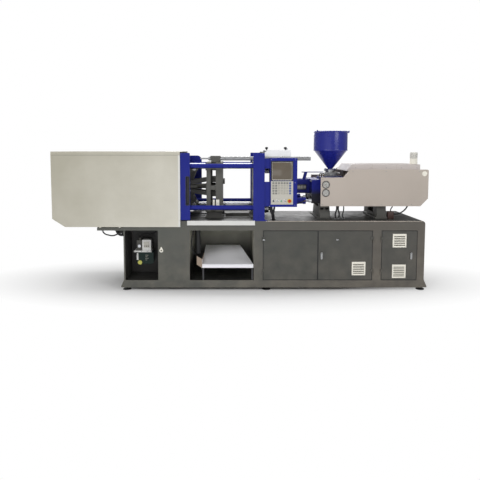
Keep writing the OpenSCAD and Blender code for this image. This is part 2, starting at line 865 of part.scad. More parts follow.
module moving_platen() {
  x1 = moving_face_x;
  x0 = moving_back_x;
  ear_x0 = front_pivot_x;
  color(casting_grey) {
    difference() {
      union() {
        cross_plate(x1 - moving_t, x1) platen_outline(platen_half, 30);
        cross_plate(x0, x0 + flange_t) platen_outline(platen_half, 30);
        // Webs between the two plates, and sleeves round the tie bars
        both_sides() block([x0 + 1, x1 - 1], [window_y + 2, platen_half - 8], [axis_z - 30, axis_z + 30]);
        at_corners() xrod(x0 - 14, x1, tie_d + 44);
        both_sides() block([x0 + 1, x1 - 1], [150, 240], [axis_z + platen_half - 40, axis_z + platen_half]);
        both_sides() block([x0 + 1, x1 - 1], [150, 240], [platen_low, platen_low + 40]);
      }
      at_corners() xrod(x0 - 20, x1 + over, tie_d + run_gap);
      block([x0 - over, x0 + flange_t + over], [-window_y, window_y],
        [axis_z - window_z, axis_z + window_z]);
      for (y = [-eject_pin_y, eject_pin_y])
        xrod(x1 - moving_t - over, x1 + over, eject_pin_d + 1, y, axis_z);
      bolt_grid(x1 - 32, x1 + over);
    }
    // Ears and pins for the front links
    both_sides() upper_and_lower() {
      for (y = [72, 154]) side_plate(y, y + 34) {
        translate([ear_x0, axis_z + front_pivot_off]) circle(34);
        translate([ear_x0, axis_z + front_pivot_off - 34]) square([x1 - moving_t - ear_x0 + 1, 68]);
      }
      yrod(72, 188, toggle_pin_d - 8, front_pivot_x, axis_z + front_pivot_off);
    }
    // Ejector cylinder on its mounting plate
    difference() {
      union() {
        block([x0 - eject_mount_t, x0 + 1], [-window_y - 20, window_y + 20],
          [axis_z - 50, axis_z + 50]);
        xrod(eject_cyl_x0, x0 - eject_mount_t + 1, eject_cyl_d, 0, axis_z);
      }
      xrod(eject_cyl_x0 + 12, x0 - eject_mount_t - 10, eject_bore, 0, axis_z);
      xrod(eject_cyl_x0 + 13, x0 + over + 1, eject_rod_d + run_gap, 0, axis_z);
    }
    // Shoes on the slideways
    both_sides() {
      block([x0 + 10, x1 - 10], [rail_y[0] + 2, rail_y[1] - 2], [base_top + rail_t + seat, platen_low + 1]);
      block([x0 - 20, x1 + 20], [rail_y[0] - 6, rail_y[1] + 6],
        [base_top + rail_t + seat, base_top + rail_t + 30]);
    }
    // Bracket of the safety bar
    difference() {
      side_plate(bar_y - 35, bar_y + 35) polygon([[bar_x[0], bar_z + 22], [bar_x[0] + 12, bar_z + 36],
        [bar_x[0] + 140, bar_z + 36], [bar_x[0] + 152, bar_z + 22],
        [bar_x[0] + 128, axis_z + platen_half - 1], [bar_x[0] + 22, axis_z + platen_half - 1]]);
      xrod(bar_x[0] - over, bar_x[0] + 153, bar_d + 2 * seat, bar_y, bar_z);
    }
    // Centring boss on the mould plate
    difference() {
      xrod(x1 - 1, x1 + 28, 110, 0, axis_z + 55);
      xrod(x1 - 2, x1 + 30, 60, 0, axis_z + 55);
      block([x1 - 2, x1 + 30], [-60, 60], [axis_z - 10, axis_z + 30]);
    }
  }
}

module ejector_plate() {
  x = eject_plate_x;
  color(steel) {
    block([x, x + eject_plate_t], [-95, 95], [axis_z - 48, axis_z + 48]);
    for (y = [-eject_pin_y, eject_pin_y]) xrod(x, moving_face_x - 2, eject_pin_d, y, axis_z);
    xrod(eject_cyl_x0 + 14, x + 1, eject_rod_d, 0, axis_z);
    xrod(eject_cyl_x0 + 14, eject_cyl_x0 + 34, eject_bore - run_gap, 0, axis_z);
  }
}

module safety_bar() {
  x = bar_x;
  thread_x = fixed_face_x + fixed_t + 60;
  color(bright_steel) difference() {
    union() {
      xrod(x[0] - 12, x[1], bar_d, bar_y, bar_z);
      xrod(x[0] - 130, x[0] - 11, 22, bar_y, bar_z);
      xrod(x[0] - 24, x[0] - 11, 44, bar_y, bar_z);
    }
    for (cx = [x[0] + 190:notch_pitch:thread_x]) translate([0, bar_y - bar_d, 0])
      side_plate(0, 2 * bar_d) polygon([[cx, bar_z + bar_d / 2 + 1], [cx, bar_z + bar_d / 2 - notch_depth],
      [cx + 26, bar_z + bar_d / 2 + 1]]);
  }
}

module safety_catch() {
  tip_z = bar_z + bar_d / 2 + 6;
  color(dark_grey) difference() {
    side_plate(bar_y - 12, bar_y + 12) {
      translate([catch_x, catch_z]) circle(15);
      link_bar([catch_x, catch_z], [catch_x - 26, tip_z + 6], 6);
      link_bar([catch_x, catch_z], [catch_x + 68, catch_z + 22], 7);
    }
    yrod(bar_y - 13, bar_y + 13, 14, catch_x, catch_z);
  }
}

// Sliding doors, their beams and the guard posts

module door_beam(z) {
  xrod(beam_x0, stop_x + 1, beam_d, -beam_y, z);
}

module door_frame() {
  color(guard_blue) both_sides() {
    door_beam(beam_high_z);
    door_beam(beam_low_z);
    // Left post behind the beams, under the roof
    block(left_post_x, [-beam_y + beam_d / 2 - 4, -beam_y + beam_d / 2 + 56],
      [base_top + seat, cover_top - cover_t - seat]);
    // Stop channel and guard post
    difference() {
      block([stop_x, post_x0 + 1], [-base_half, -base_half + 72], [base_top + seat, post_top]);
      block([stop_x - over, stop_x + 22], [-base_half + 2, -base_half + 20],
        [base_top + 20, post_top + over]);
    }
    difference() {
      block([post_x0, post_x0 + post_w], [-base_half, -base_half + 80], [base_top + seat, post_top]);
      block([post_x0 + 5, post_x0 + post_w - 5], [-base_half + 5, -base_half + 75],
        [base_top + 10, post_top - 5]);
    }
    block([stop_x - 10, post_x0 + post_w + 34], [-base_half + 1, -base_half + 96],
      [base_top + seat, base_top + 12]);
  }
}

module sill_strips() {
  z = [base_top - 54, base_top + 6];
  color(pale_grey) both_sides() difference() {
    block(sill_x, [-cover_y, -base_half - seat], z);
    block([sill_x[0] - over, sill_x[1] + over], [-cover_y + sill_t, -base_half - sill_t],
      [z[0] - over, z[1] - sill_t]);
  }
}

module sliding_door(x1, top, r, window) {
  x0 = x1 - door_w;
  y = [-door_y0, -door_in];
  pocket = [x1 - 50, x1 - 13];
  difference() {
    side_plate(y[0], y[1]) round_corner([x0, x1], [door_low, top], r);
    difference() {
      side_plate(y[0] + 3, y[1] - 3) round_corner([x0 + 3, x1 - 3], [door_low + 3, top - 3], r - 3);
      block([pocket[0] - 2, pocket[1] + 2], y, [1154, 1530]);
    }
    if (window) block([x0 + 50, x1 - strip_w - 40], [y[0] - over, y[1] + over], [window_low, top - 60]);
    // The leaf's back is open between its folded ribs
    block([x0 + 50, x1 - strip_w - 40], [y[0] + 4, y[1] + over], [door_low + 30, window_low - 60]);
    block(pocket, [y[0] - over, y[1] - 6], [1156, 1528]);
  }
  // Slide shoes that ride on the beams
  for (x = [x0 + 2, x1 - 150], z = [beam_high_z, beam_low_z]) difference() {
    block([x, x + 46], [y[1] - 2, -beam_y + 20], [z + 6, z + 46]);
    xrod(x - over, x + 47, beam_d + 1, -beam_y, z);
  }
}

module front_door() {
  color(guard_blue) sliding_door(front_door_x1, door_top, 12, true);
}

module front_door_pane() {
  x = [front_door_x1 - door_w + 50, front_door_x1 - strip_w - 40];
  y = -door_y0 + 3 + seat;
  z = [window_low - 10, door_top - 50];
  color([0.7, 0.8, 0.85, 0.5]) block([x[0] - 10, x[1] + 10], [y, y + pane_t], z);
}

module rear_door() {
  color(guard_blue) mirror([0, 1, 0]) sliding_door(rear_door_x1, rear_door_top, 70, false);
}

// Clamp covers

hem_w = 8;

module cover_outline(inset) {
  x = [cover_x0 + inset, cover_x1 - inset];
  z = [861 + inset, cover_top - roof_skirt - seat - inset];
  polygon([[x[0] + chamfer_x, z[0]], [x[1], z[0]], [x[1], z[1]], [x[0], z[1]], [x[0], z[0] + chamfer_z]]);
}

module clamp_side_covers() {
  color(cover_beige) both_sides() {
    side_plate(-cover_y, -cover_y + cover_t) cover_outline(0);
    // Hem along the edges, and a deeper fold at the bottom that meets the base
    difference() {
      side_plate(-cover_y, -cover_y + hem_w) cover_outline(0);
      side_plate(-cover_y - over, -cover_y + hem_w + over) cover_outline(cover_t);
    }
    block([cover_x0 + chamfer_x, cover_x1], [-cover_y, -base_half - seat], [861, 861 + cover_t]);
    for (x = [-1900, -1640]) block([x, x + 20], [-cover_y, -base_half + 40],
      [shelf_top + seat, 861 + cover_t]);
  }
}

module clamp_roof() {
  y = [-cover_y, cover_y];
  z = [cover_top - roof_skirt, cover_top];
  r = 16;
  color(cover_beige) {
    difference() {
      cross_plate(cover_x0, cover_x1) difference() {
        union() {
          translate([y[0], z[0]]) square([y[1] - y[0], roof_skirt - r]);
          translate([y[0] + r, z[0]]) square([y[1] - y[0] - 2 * r, roof_skirt]);
          for (s = [-1, 1]) translate([s * (y[1] - r), z[1] - r]) circle(r);
        }
        translate([y[0] + cover_t, z[0] - over]) square([y[1] - y[0] - 2 * cover_t, roof_skirt - r + over]);
        translate([y[0] + r, z[0] - over]) square([y[1] - y[0] - 2 * r, roof_skirt - cover_t + over]);
        for (s = [-1, 1]) translate([s * (y[1] - r), z[1] - r]) circle(r - cover_t);
      }
    }
    // End panel below the roof, between the side covers
    difference() {
      block([cover_x0, cover_x0 + cover_t], [y[0] + hem_w + seat, y[1] - hem_w - seat],
        [861 + chamfer_z, cover_top - cover_t]);
      for (i = [0:9]) block([cover_x0 - over, cover_x0 + cover_t + over], [-160, 160],
        [1300 + 26 * i, 1310 + 26 * i]);
    }
  }
}

// Control panel

module control_box() {
  x = [panel_x0, panel_x0 + panel_w];
  y = [-base_half, bar_y - bar_d / 2 - panel_gap];
  z = [panel_z0, panel_z0 + panel_h];
  color(guard_blue) {
    difference() {
      block(x, y, z);
      block([x[0] + 3, x[1] - 3], [y[0] + 16, y[1] - 3], [z[0] + 3, z[1] - 3]);
      block([x[0] + 8, x[1] - 54], [y[0] - over, y[0] + 17], [z[0] + 351, z[1] - 40]);
      block([x[0] + 8, x[1] - 54], [y[0] - over, y[0] + 17], [z[0] + 33, z[0] + 345]);
    }
    // Brackets to the guard post
    block([post_x0 + post_w + seat, x[0] + 1], [y[0] + 20, y[0] + 70], [1640, z[1] - 6]);
    block([post_x0 + post_w + seat, x[0] + 1], [y[0] + 20, y[0] + 70], [z[0] + 6, 1460]);
  }
}

module control_screen() {
  x = [panel_x0 + 8 + seat, panel_x0 + panel_w - 54 - seat];
  z = [panel_z0 + 351 + seat, panel_z0 + panel_h - 40 - seat];
  y = -base_half;
  color(dark_grey) difference() {
    block(x, [y - 2, y + 16 - seat], z);
    block([x[0] + 18, x[1] - 18], [y - 3, y + 1], [z[0] + 18, z[1] - 18]);
  }
}

button_x = panel_x0 + 256;

// Purge guard over the nozzle
purge_x1 = 690;
purge_z0 = axis_z + 190;
purge_h = 324;
purge_t = 3;
purge_half = 215;
purge_slope = 84;
button_z = 1207;

module control_keypad() {
  x = [panel_x0 + 8 + seat, panel_x0 + panel_w - 54 - seat];
  z = [panel_z0 + 33 + seat, panel_z0 + 345 - seat];
  y = -base_half;
  color(pale_grey) {
    difference() {
      union() {
        block(x, [y - 1, y + 16 - seat], z);
        // Raised pads of the membrane keys
        for (i = [0:6], j = [0:4]) block([x[0] + 18 + 37 * i, x[0] + 46 + 37 * i], [y - 2.2, y],
          [z[1] - 40 - 34 * j, z[1] - 14 - 34 * j]);
      }
      yrod(y - 5, y + 20, 22 + run_gap, button_x, button_z);
    }
    // Collar round the stop button
    difference() {
      yrod(y - 5, y, 36, button_x, button_z);
      yrod(y - 6, y + 2, 22 + run_gap, button_x, button_z);
    }
  }
}

module stop_button() {
  y = -base_half;
  color(stop_red) translate([button_x, y, button_z]) rotate([90, 0, 0]) rotate_extrude()
    polygon([[0, -30], [11, -30], [11, 12], [20, 12], [20, 20], [17, 24], [10, 25], [0, 25]]);
}

module purge_guard() {
  x = [fixed_face_x + fixed_t + 16, purge_x1];
  z = [purge_z0, purge_z0 + purge_h];
  t = purge_t;
  y = [-purge_half, purge_half];
  slope_z = z[1] - purge_slope;
  color(pale_grey) {
    difference() {
      cross_plate(x[0], x[1])
        polygon([[y[0], z[0]], [y[1], z[0]], [y[1], slope_z],
          [y[1] - purge_slope, z[1]], [y[0] + purge_slope, z[1]], [y[0], slope_z]]);
      cross_plate(x[0] - over, x[1] - t) polygon([[y[0] + t, z[0] - over], [y[1] - t, z[0] - over],
        [y[1] - t, slope_z - t], [y[1] - purge_slope - t, z[1] - t], [y[0] + purge_slope + t, z[1] - t],
        [y[0] + t, slope_z - t]]);
      block([x[0] + 90, x[1] - 90], [y[0] - over, y[0] + t + over], [z[0] + 40, z[0] + 180]);
    }
    // Handle, and hinge bosses on the side walls
    yrod(-60, 60, 16, x[1] - 40, z[1] + 22);
    for (sy = [-60, 48]) block([x[1] - 46, x[1] - 34], [sy, sy + 12], [z[1] - 2, z[1] + 24]);
    both_sides() difference() {
      union() {
        yrod(199, 214, 24, guard_hinge[0], guard_hinge[1]);
        block([guard_hinge[0], guard_hinge[0] + 20], [199, 213], [guard_hinge[1] - 8, guard_hinge[1] + 8]);
      }
      yrod(198, 216, 12 + run_gap, guard_hinge[0], guard_hinge[1]);
    }
  }
}

// Cabinet doors

module cabinet_leaf(x, hinge_x, plates) {
  z = [opening_low + door_gap, liner_high - door_gap];
  y = [-base_half, -base_half + leaf_t];
  side = hinge_x < x[0] ? 1 : -1;
  difference() {
    block(x, y, z);
    block([x[0] + 12, x[1] - 12], [y[0] + 2, y[1] + over], [z[0] + 12, z[1] - 12]);
    for (p = plates) block([p[0] - 90, p[0] + 90], [y[0] - over, y[0] + 3], [p[1] - 90, p[1] + 90]);
  }
  // Ventilation grilles
  for (p = plates) {
    difference() {
      block([p[0] - 91, p[0] + 91], [y[0] - 5, y[0] + 14], [p[1] - 91, p[1] + 91]);
      for (i = [0:5]) block([p[0] - 74, p[0] + 74], [y[0] - 6, y[0] + 15],
        [p[1] - 70 + 24 * i, p[1] - 58 + 24 * i]);
    }
  }
  for (hz = hinge_zs) difference() {
    union() {
      zrod(hz, hz + 36, 12, hinge_x, y[0] - 7);
      block([min(hinge_x, hinge_x + side * 34), max(hinge_x, hinge_x + side * 34)], [y[0] - 8, y[0] - 4],
        [hz, hz + 36]);
      block([min(hinge_x + side * 10, hinge_x + side * 34), max(hinge_x + side * 10, hinge_x + side * 34)],
        [y[0] - 5, y[0] + 1], [hz, hz + 36]);
    }
    zrod(hz - over, hz + 37, 6 + run_gap, hinge_x, y[0] - 7);
  }
}

module latch_hole(x, z) {
  yrod(-base_half - 3, -base_half + leaf_t + over, 22 + run_gap, x, z);
}

latch_mid = [1069, 505];
latch_right = [2270, 505];

module cabinet_door_left() {
  color(frame_grey) cabinet_leaf([pump_bay_x[0] + door_gap, bay_split_x - 1.5], hinge_left_x[0], []);
}

module cabinet_door_middle() {
  color(frame_grey) difference() {
    union() {
      cabinet_leaf([bay_split_x + 1.5, pump_bay_x[1] - door_gap], hinge_right_x, [[1569, 295]]);
      latch_plate(latch_mid);
    }
    latch_hole(latch_mid[0], latch_mid[1]);
  }
}

module cabinet_door_right() {
  color(frame_grey) difference() {
    union() {
      cabinet_leaf([electric_bay_x[0] + door_gap, electric_bay_x[1] - door_gap], hinge_left_x[1],
        [[2111, 674], [2111, 258]]);
      latch_plate(latch_right);
    }
    latch_hole(latch_right[0], latch_right[1]);
  }
}

module latch_plate(p) {
  block([p[0] - 20, p[0] + 20], [-base_half - 2, -base_half + leaf_t], [p[1] - 85, p[1] + 40]);
}

// A quarter-turn handle outside and a tongue inside: both hang down while the leaf is free to open
module door_latch(p, reach) {
  y = -base_half;
  color(steel) {
    side_plate(y - 14, y - 4) link_bar([p[0], p[1]], [p[0], p[1] - 70], 13);
    yrod(y - 5, y + leaf_t + 12, 22, p[0], p[1]);
    block([p[0] - 10, p[0] + 10], [y + leaf_t + 7, y + leaf_t + 12], [p[1] - reach, p[1]]);
  }
}

module door_latch_middle() { door_latch(latch_mid, 52); }
module door_latch_right() { door_latch(latch_right, 76); }

// Injection unit

module injection_guides() {
  color(bright_steel) both_sides()
    xrod(front_support_x, rear_support_x + rear_support_l, guide_d, guide_y, guide_z);
}

module guide_supports() {
  fx = [front_support_x, front_support_x + front_support_l];
  rx = [rear_support_x, rear_support_x + rear_support_l];
  head = 43;
  color(casting_grey) {
    difference() {
      union() {
        cross_plate(fx[0], fx[1]) polygon([[-300, base_top + seat], [300, base_top + seat], [300, 980],
          [243, 1090], [-243, 1090], [-300, 980]]);
        both_sides() block(fx, [guide_y - head, guide_y + head], [1089, guide_z + 38]);
        block([fx[0] - 40, fx[1] + 20], [-300, 300], [base_top + seat, base_top + 14]);
      }
      both_sides() xrod(fx[0] - over, fx[1] + over, guide_d + 0.3, guide_y, guide_z);
      // Core openings of the casting
      both_sides() block([fx[0] + 14, fx[1] - 14], [60, 230], [base_top, 1075]);
      both_sides() for (x = [fx[0] + 12, fx[0] + 80]) block([x, x + 48], [-260, -229.5], [1040, 1080]);
    }
    difference() {
      union() {
        side_plate(-330, 330) polygon([[rx[0] - 20, base_top + seat], [rx[1] + 16, base_top + seat],
          [rx[1] + 16, base_top + 26], [rx[1], base_top + 34], [rx[1] - 10, guide_z + 38],
          [rx[0], guide_z + 38], [rx[0], base_top + 34], [rx[0] - 20, base_top + 26]]);
      }
      both_sides() xrod(rx[0] - over, rx[1] + over, guide_d + 0.3, guide_y, guide_z);
      block([rx[0] - 30, rx[1] + 30], [-140, 140], [1010, guide_z + 40]);
      block([rx[0] + 20, rx[1] - 30], [-300, 300], [base_top, 1120]);
    }
  }
}

module carriage_cylinders() {
  x0 = fixed_face_x + fixed_t;
  tube_x = [430, 887];
  color(guard_blue) both_sides() translate([0, -carriage_y, carriage_z]) difference() {
    union() {
      xrod(x0 + seat, tube_x[0] + 1, 50);
      xrod(tube_x[0], tube_x[1], 88);
      xrod(tube_x[1] - 34, tube_x[1], 97);
      xrod(tube_x[0], tube_x[0] + 30, 97);
      block([x0 + seat, x0 + 18], [-42, 42], [-42, 42]);
    }
    xrod(tube_x[0] + 12, tube_x[1] - 20, 70);
    xrod(tube_x[1] - 21, tube_x[1] + over, 36 + run_gap);
  }
}

module carriage_rods() {
  color(dark_grey) both_sides() translate([0, -carriage_y, carriage_z]) {
    xrod(500, plate_x[0] - seat, 36);
    xrod(500, 525, 70 - run_gap);
    xrod(plate_x[0] - 40, plate_x[0] - seat, 52, $fn = 6);
  }
}

module injection_housing() {
  x = plate_x;
  color(guard_blue) difference() {
    union() {
      // Front plate with its lugs for the carriage cylinders
      block(x, [-housing_half, housing_half], [plate_low, axis_z + 105]);
      block(x, [-145, 145], [slab_z[0] - 20, plate_low + 1]);
      both_sides() side_plate(carriage_y - 26, housing_half) difference() {
        translate([x[0], carriage_z - 36]) square([x[1] - x[0], plate_low + 37 - carriage_z]);
        translate([x[1] + 20, carriage_z - 36]) circle(40);
      }
      // Feed block round the barrel
      block([x[1] - 1, block_x1], [-150, 150], [block_low - 1, block_top]);
      block([hopper_x - 110, hopper_x + 110], [-170, 170], [block_top - 20, block_top]);
      // Saddle with its bushings on the guide rods
      block(slab_x, [-320, 320], slab_z);
      both_sides() for (b = bush_xs) {
        xrod(b[0], b[1], 84, guide_y, guide_z);
        block(b, [guide_y - 34, guide_y + 34], [guide_z, slab_z[0] + 1]);
      }
      // Rear flange for the injection cylinders
      block([block_x1 - 40, block_x1], [-250, 250], [slab_z[1] - 1, 1480]);
    }
    xrod(x[0] - over, block_x1 + over, barrel_d + 0.3, 0, axis_z);
    both_sides() for (b = bush_xs) xrod(b[0] - over, b[1] + over, guide_d + run_gap, guide_y, guide_z);
    zrod(axis_z, block_top + over, throat_d, hopper_x, 0);
    // Cut below the front plate's left corner, and relief pockets
    both_sides() block([x[0] + 30, x[1] - 30], [170, 250], [1270, 1440]);
  }
}

module barrel() {
  color(steel) difference() {
    translate([0, 0, axis_z]) rotate([0, 90, 0]) rotate_extrude() polygon([
      [0, nozzle_x], [8, nozzle_x], [20, nozzle_x + 14], [20, nozzle_x + 60], [27, nozzle_x + 62],
      [27, nozzle_x + 100], [42, nozzle_x + 112], [42, barrel_x0], [barrel_d / 2, barrel_x0 + 2],
      [barrel_d / 2, block_x1 - 2], [0, block_x1 - 2]]);
    xrod(barrel_x0 + 40, block_x1, screw_d, 0, axis_z);
    xrod(nozzle_x - over, barrel_x0 + 41, 6, 0, axis_z);
    zrod(axis_z, axis_z + barrel_d, throat_d, hopper_x, 0);
  }
}

module heater_bands() {
  color(bright_steel) for (i = [0:3]) translate([0, 0, axis_z]) {
    x = barrel_x0 + 18 + 122 * i;
    difference() {
      union() {
        xrod(x, x + 90, barrel_d + 16);
        block([x + 20, x + 70], [-14, 14], [barrel_d / 2 + 4, barrel_d / 2 + 24]);
      }
      xrod(x - over, x + 91, barrel_d + 0.6);
    }
  }
}

module barrel_cover() {
  x = [480, plate_x[0] - seat];
  t = 3;
  half = 96;
  color(guard_blue) {
    difference() {
      cross_plate(x[0], x[1]) cover_section(half, 0);
      cross_plate(x[0] - over, x[1] - t) cover_section(half - t, t);
      xrod(x[1] - t - over, x[1] + over, barrel_d + 6, 0, axis_z);
      // Ventilation slots
      for (i = [0:7]) block([x[0] + 50 + 50 * i, x[0] + 80 + 50 * i], [-30, 30], [1460, 1480]);
    }
    // Bracket and rail that the hopper slides along for cleaning
    side_plate(-96, -60) polygon([[866, 1460], [908, 1460], [938, 1574], [896, 1574]]);
    xrod(858, 1166, 12, -78, 1572);
  }
}

module cover_section(half, lift) {
  top = 1475 - lift;
  polygon([[-half, axis_z - half + 10], [-half + 14, axis_z - half - 2], [half - 14, axis_z - half - 2],
    [half, axis_z - half + 10], [half, top - 14], [half - 14, top], [-half + 14, top], [-half, top - 14]]);
}

module injection_cylinders() {
  x = [block_x1 + seat, inject_x1];
  color(frame_grey) both_sides() translate([0, inject_y, axis_z]) difference() {
    union() {
      block([x[0], x[0] + 36], [-66, 66], [-66, 66]);
      xrod(x[0] + 35, x[1] - 39, inject_bore + 22);
      block([x[1] - 40, x[1]], [-66, 66], [-66, 66]);
      for (sy = [-1, 1], sz = [-1, 1]) xrod(x[0], x[1] + 12, 18, sy * 54, sz * 54);
    }
    xrod(x[0] + 30, x[1] - 38, inject_bore);
    xrod(x[1] - 39, x[1] + over, 50 + run_gap);
  }
}

module thrust_plate() {
  x = [thrust_x, thrust_x + thrust_t];
  color(casting_grey) translate([0, 0, axis_z]) {
    difference() {
      union() {
        block(x, [-255, 255], [-80, 80]);
        xrod(x[0], x[1], 250);
      }
      xrod(x[0] - over, x[0] + 40, 60 + run_gap);
    }
    both_sides() {
      xrod(1560, x[0] + 1, 50, inject_y);
      xrod(1560, 1590, inject_bore - run_gap, inject_y);
      xrod(x[1] - 1, x[1] + 24, 70, inject_y, $fn = 6);
    }
    // Hydraulic motor that turns the screw
    xrod(x[1] - 1, x[1] + 60, 190);
    for (i = [0:4]) rotate([72 * i, 0, 0]) xrod(x[1] + 40, x[1] + 150, 70, 0, 58);
    xrod(x[1] + 40, x[1] + motor_l, 120);
    block([x[1] + 150, x[1] + motor_l - 10], [-40, 40], [30, 90]);
  }
}

module screw() {
  tip = barrel_x0 + 46;
  flight = 1180;
  color(bright_steel) {
    translate([0, 0, axis_z]) rotate([0, 90, 0]) rotate_extrude() polygon([
      [0, tip], [6, tip + 6], [screw_d / 2 - 2, tip + 36], [12, tip + 40], [12, tip + 52],
      [screw_d / 2 - 6, tip + 60], [screw_d / 2 - 8, flight], [screw_d / 2 - 1, flight + 140],
      [screw_d / 2 - 1, thrust_x - 60], [29.9, thrust_x - 58], [29.9, thrust_x + 38], [0, thrust_x + 38]]);
    // Flights
    for (i = [0:16]) translate([tip + 64 + 40 * i, 0, axis_z]) rotate([0, 8, 0])
      xrod(0, 5, screw_d - 1.6);
  }
}

// Covers over the injection drive

module side_outline(inset) {
  x = [side_x0 + inset, side_x1 - inset];
  z = [side_low + inset, side_top - inset];
  r = side_round;
  step = side_step - inset;
  difference() {
    polygon([[x[0], z[0]], [x[1] - 101, z[0]], [x[1], z[0] + 106], [x[1], z[1]], [1464 + inset * 0.4, z[1]],
      [1372 + inset * 0.4, step], [x[0], step]]);
    translate([x[1] - r, z[1] - r]) difference() {
      square(r + over);
      circle(r);
    }
  }
}

module injection_side_covers() {
  color(side_beige) both_sides() {
    difference() {
      union() {
        side_plate(-side_y, -side_y + cover_t) side_outline(0);
        difference() {
          side_plate(-side_y, -side_y + 26) side_outline(0);
          side_plate(-side_y - over, -side_y + 27) side_outline(cover_t);
        }
      }
      for (z = gauge_zs) yrod(-side_y - over, -side_y + 27, gauge_d - 6, gauge_x, z);
    }
  }
}

module pressure_gauges() {
  color(bright_steel) for (z = gauge_zs) translate([gauge_x, -side_y, z]) rotate([90, 0,
    0]) rotate_extrude()
    polygon([[0, -60], [9, -60], [9, -40], [gauge_d / 2 - 6, -38], [gauge_d / 2 - 6, seat],
    [gauge_d / 2 + 4, seat], [gauge_d / 2 + 4, 6], [gauge_d / 2, 9], [gauge_d / 2 - 5, 9],
    [gauge_d / 2 - 5, 4], [0, 4]]);
}

module injection_hood() {
  x = hood_x;
  z = [side_top - 24, hood_top];
  y = hood_y;
  t = 3;
  color(side_beige) {
    difference() {
      side_plate(-y, y) hood_profile(x, z, 0);
      side_plate(-y + t, y - t) hood_profile([x[0] + t, x[1] - t], [z[0] - over, z[1] - t], 0);
    }
    // Flanges out to the side covers, and brackets that stand on the saddle
    both_sides() {
      block([x[0] + 60, x[1]], [-side_y + cover_t + seat, -y + 1], [z[0], z[0] + t]);
      block([x[0] + 60, x[1]], [-side_y + cover_t + seat, -side_y + 24], [z[0], side_top - cover_t - seat]);
      block([1490, 1640], [-side_y + cover_t + seat, -275], [z[0], z[0] + t]);
      for (lx = [1500, 1600]) {
        block([lx, lx + 30], [-310, -280], [slab_z[1] + seat, z[0] + 1]);
        block([lx, lx + 30], [-side_y + cover_t + seat, -309], [1300, 1330]);
      }
    }
    // Rear bulkhead between the side covers, open above for the motor
    difference() {
      block([x[1] - 4, x[1]], [-side_y + 30, side_y - 30], [1180, z[0] + 2]);
      block([x[1] - 5, x[1] + 1], [-150, 150], [1220, 1540]);
    }
  }
}

module hood_profile(x, z, inset) {
  polygon([[x[0], z[0]], [x[1], z[0]], [x[1], z[1] - 8], [x[1] - 8, z[1]], [x[0] + 62, z[1]],
    [x[0] + 6, z[0] + 24]]);
}

module signal_lamp() {
  color([0.93, 0.90, 0.82]) translate([2368, -280, hood_top + seat]) rotate_extrude() polygon([
    [0, 0], [46, 0], [50, 4], [50, 66], [47, 70], [47, 74], [50, 78], [50, 156], [44, 164], [0, 165]]);
}

// Hopper

module hopper_base() {
  color(steel) difference() {
    union() {
      block([hopper_x - 86, hopper_x + 86], [-75, 75], [block_top + seat, 1538]);
      block([hopper_x - 70, hopper_x + 90], [-60, 60], [1537, 1568]);
      zrod(1567, hopper_z0 - seat, 140, hopper_x, 0);
      zrod(1585, hopper_z0 - seat, 172, hopper_x, 0);
    }
    zrod(block_top - over, hopper_z0 + over, throat_d, hopper_x, 0);
    block([hopper_x - 66, hopper_x + 91], [-36, 36], [gate_z - run_gap / 2, gate_z + gate_t + run_gap / 2]);
  }
}

module hopper_gate() {
  color(bright_steel) difference() {
    union() {
      block([hopper_x - 65, hopper_x + 130], [-35.8, 35.8], [gate_z, gate_z + gate_t]);
      yrod(-28, 28, 16, hopper_x + 134, gate_z + gate_t / 2);
    }
    zrod(gate_z - over, gate_z + gate_t + over, throat_d, hopper_x, 0);
  }
}

module hopper() {
  r0 = 29;
  w = hopper_wall;
  color(guard_blue) {
    translate([hopper_x, 0, 0]) rotate_extrude($fn = 96) polygon([
      [r0 - w, hopper_z0], [86, hopper_z0], [86, hopper_z0 + 8], [r0 + 4, hopper_z0 + 8],
      [hopper_r, hopper_z1], [hopper_r, hopper_z2 - 8], [hopper_r + 5, hopper_z2 - 6],
      [hopper_r + 5, hopper_z2], [hopper_r - w, hopper_z2], [hopper_r - w, hopper_z1 + 2],
      [r0 - w, hopper_z0 + 14]]);
    // Hinge ears of the lid
    for (y = [-50, 38]) side_plate(y, y + 12) {
      translate([hopper_x + hopper_r + 14, hopper_z2 + 2]) circle(9);
      translate([hopper_x + hopper_r - 2, hopper_z2 - 22]) square([20, 22]);
    }
    yrod(-50, 50, 8, hopper_x + hopper_r + 14, hopper_z2 + 2);
  }
}

module hopper_lid() {
  hx = hopper_x + hopper_r + 14;
  hz = hopper_z2 + 2;
  color(guard_blue) {
    translate([hopper_x, 0, 0]) rotate_extrude($fn = 96) polygon([
      [0, hopper_z2 + seat + 6], [hopper_r - 10, hopper_z2 + seat], [hopper_r + 3, hopper_z2 + seat],
      [hopper_r + 3, hopper_z2 + 4], [hopper_r - 20, hopper_z2 + 6], [0, hopper_z2 + 13]]);
    difference() {
      union() {
        yrod(-34, 34, 15, hx, hz);
        block([hopper_x + hopper_r - 6, hx], [-34, 34], [hopper_z2 + 2, hopper_z2 + 5]);
      }
      yrod(-35, 35, 8 + run_gap, hx, hz);
    }
    translate([hopper_x - 190, 0, hopper_z2 + 6]) zrod(0, 16, 20, 0, 0);
  }
}

// Hoses and cable bundles that stay where they are fixed

// A hose with a straight end of the given length and direction before its curve
module hose(start, points, d, steps = 4) {
  tube(concat([start], smooth(points, steps)), d);
}

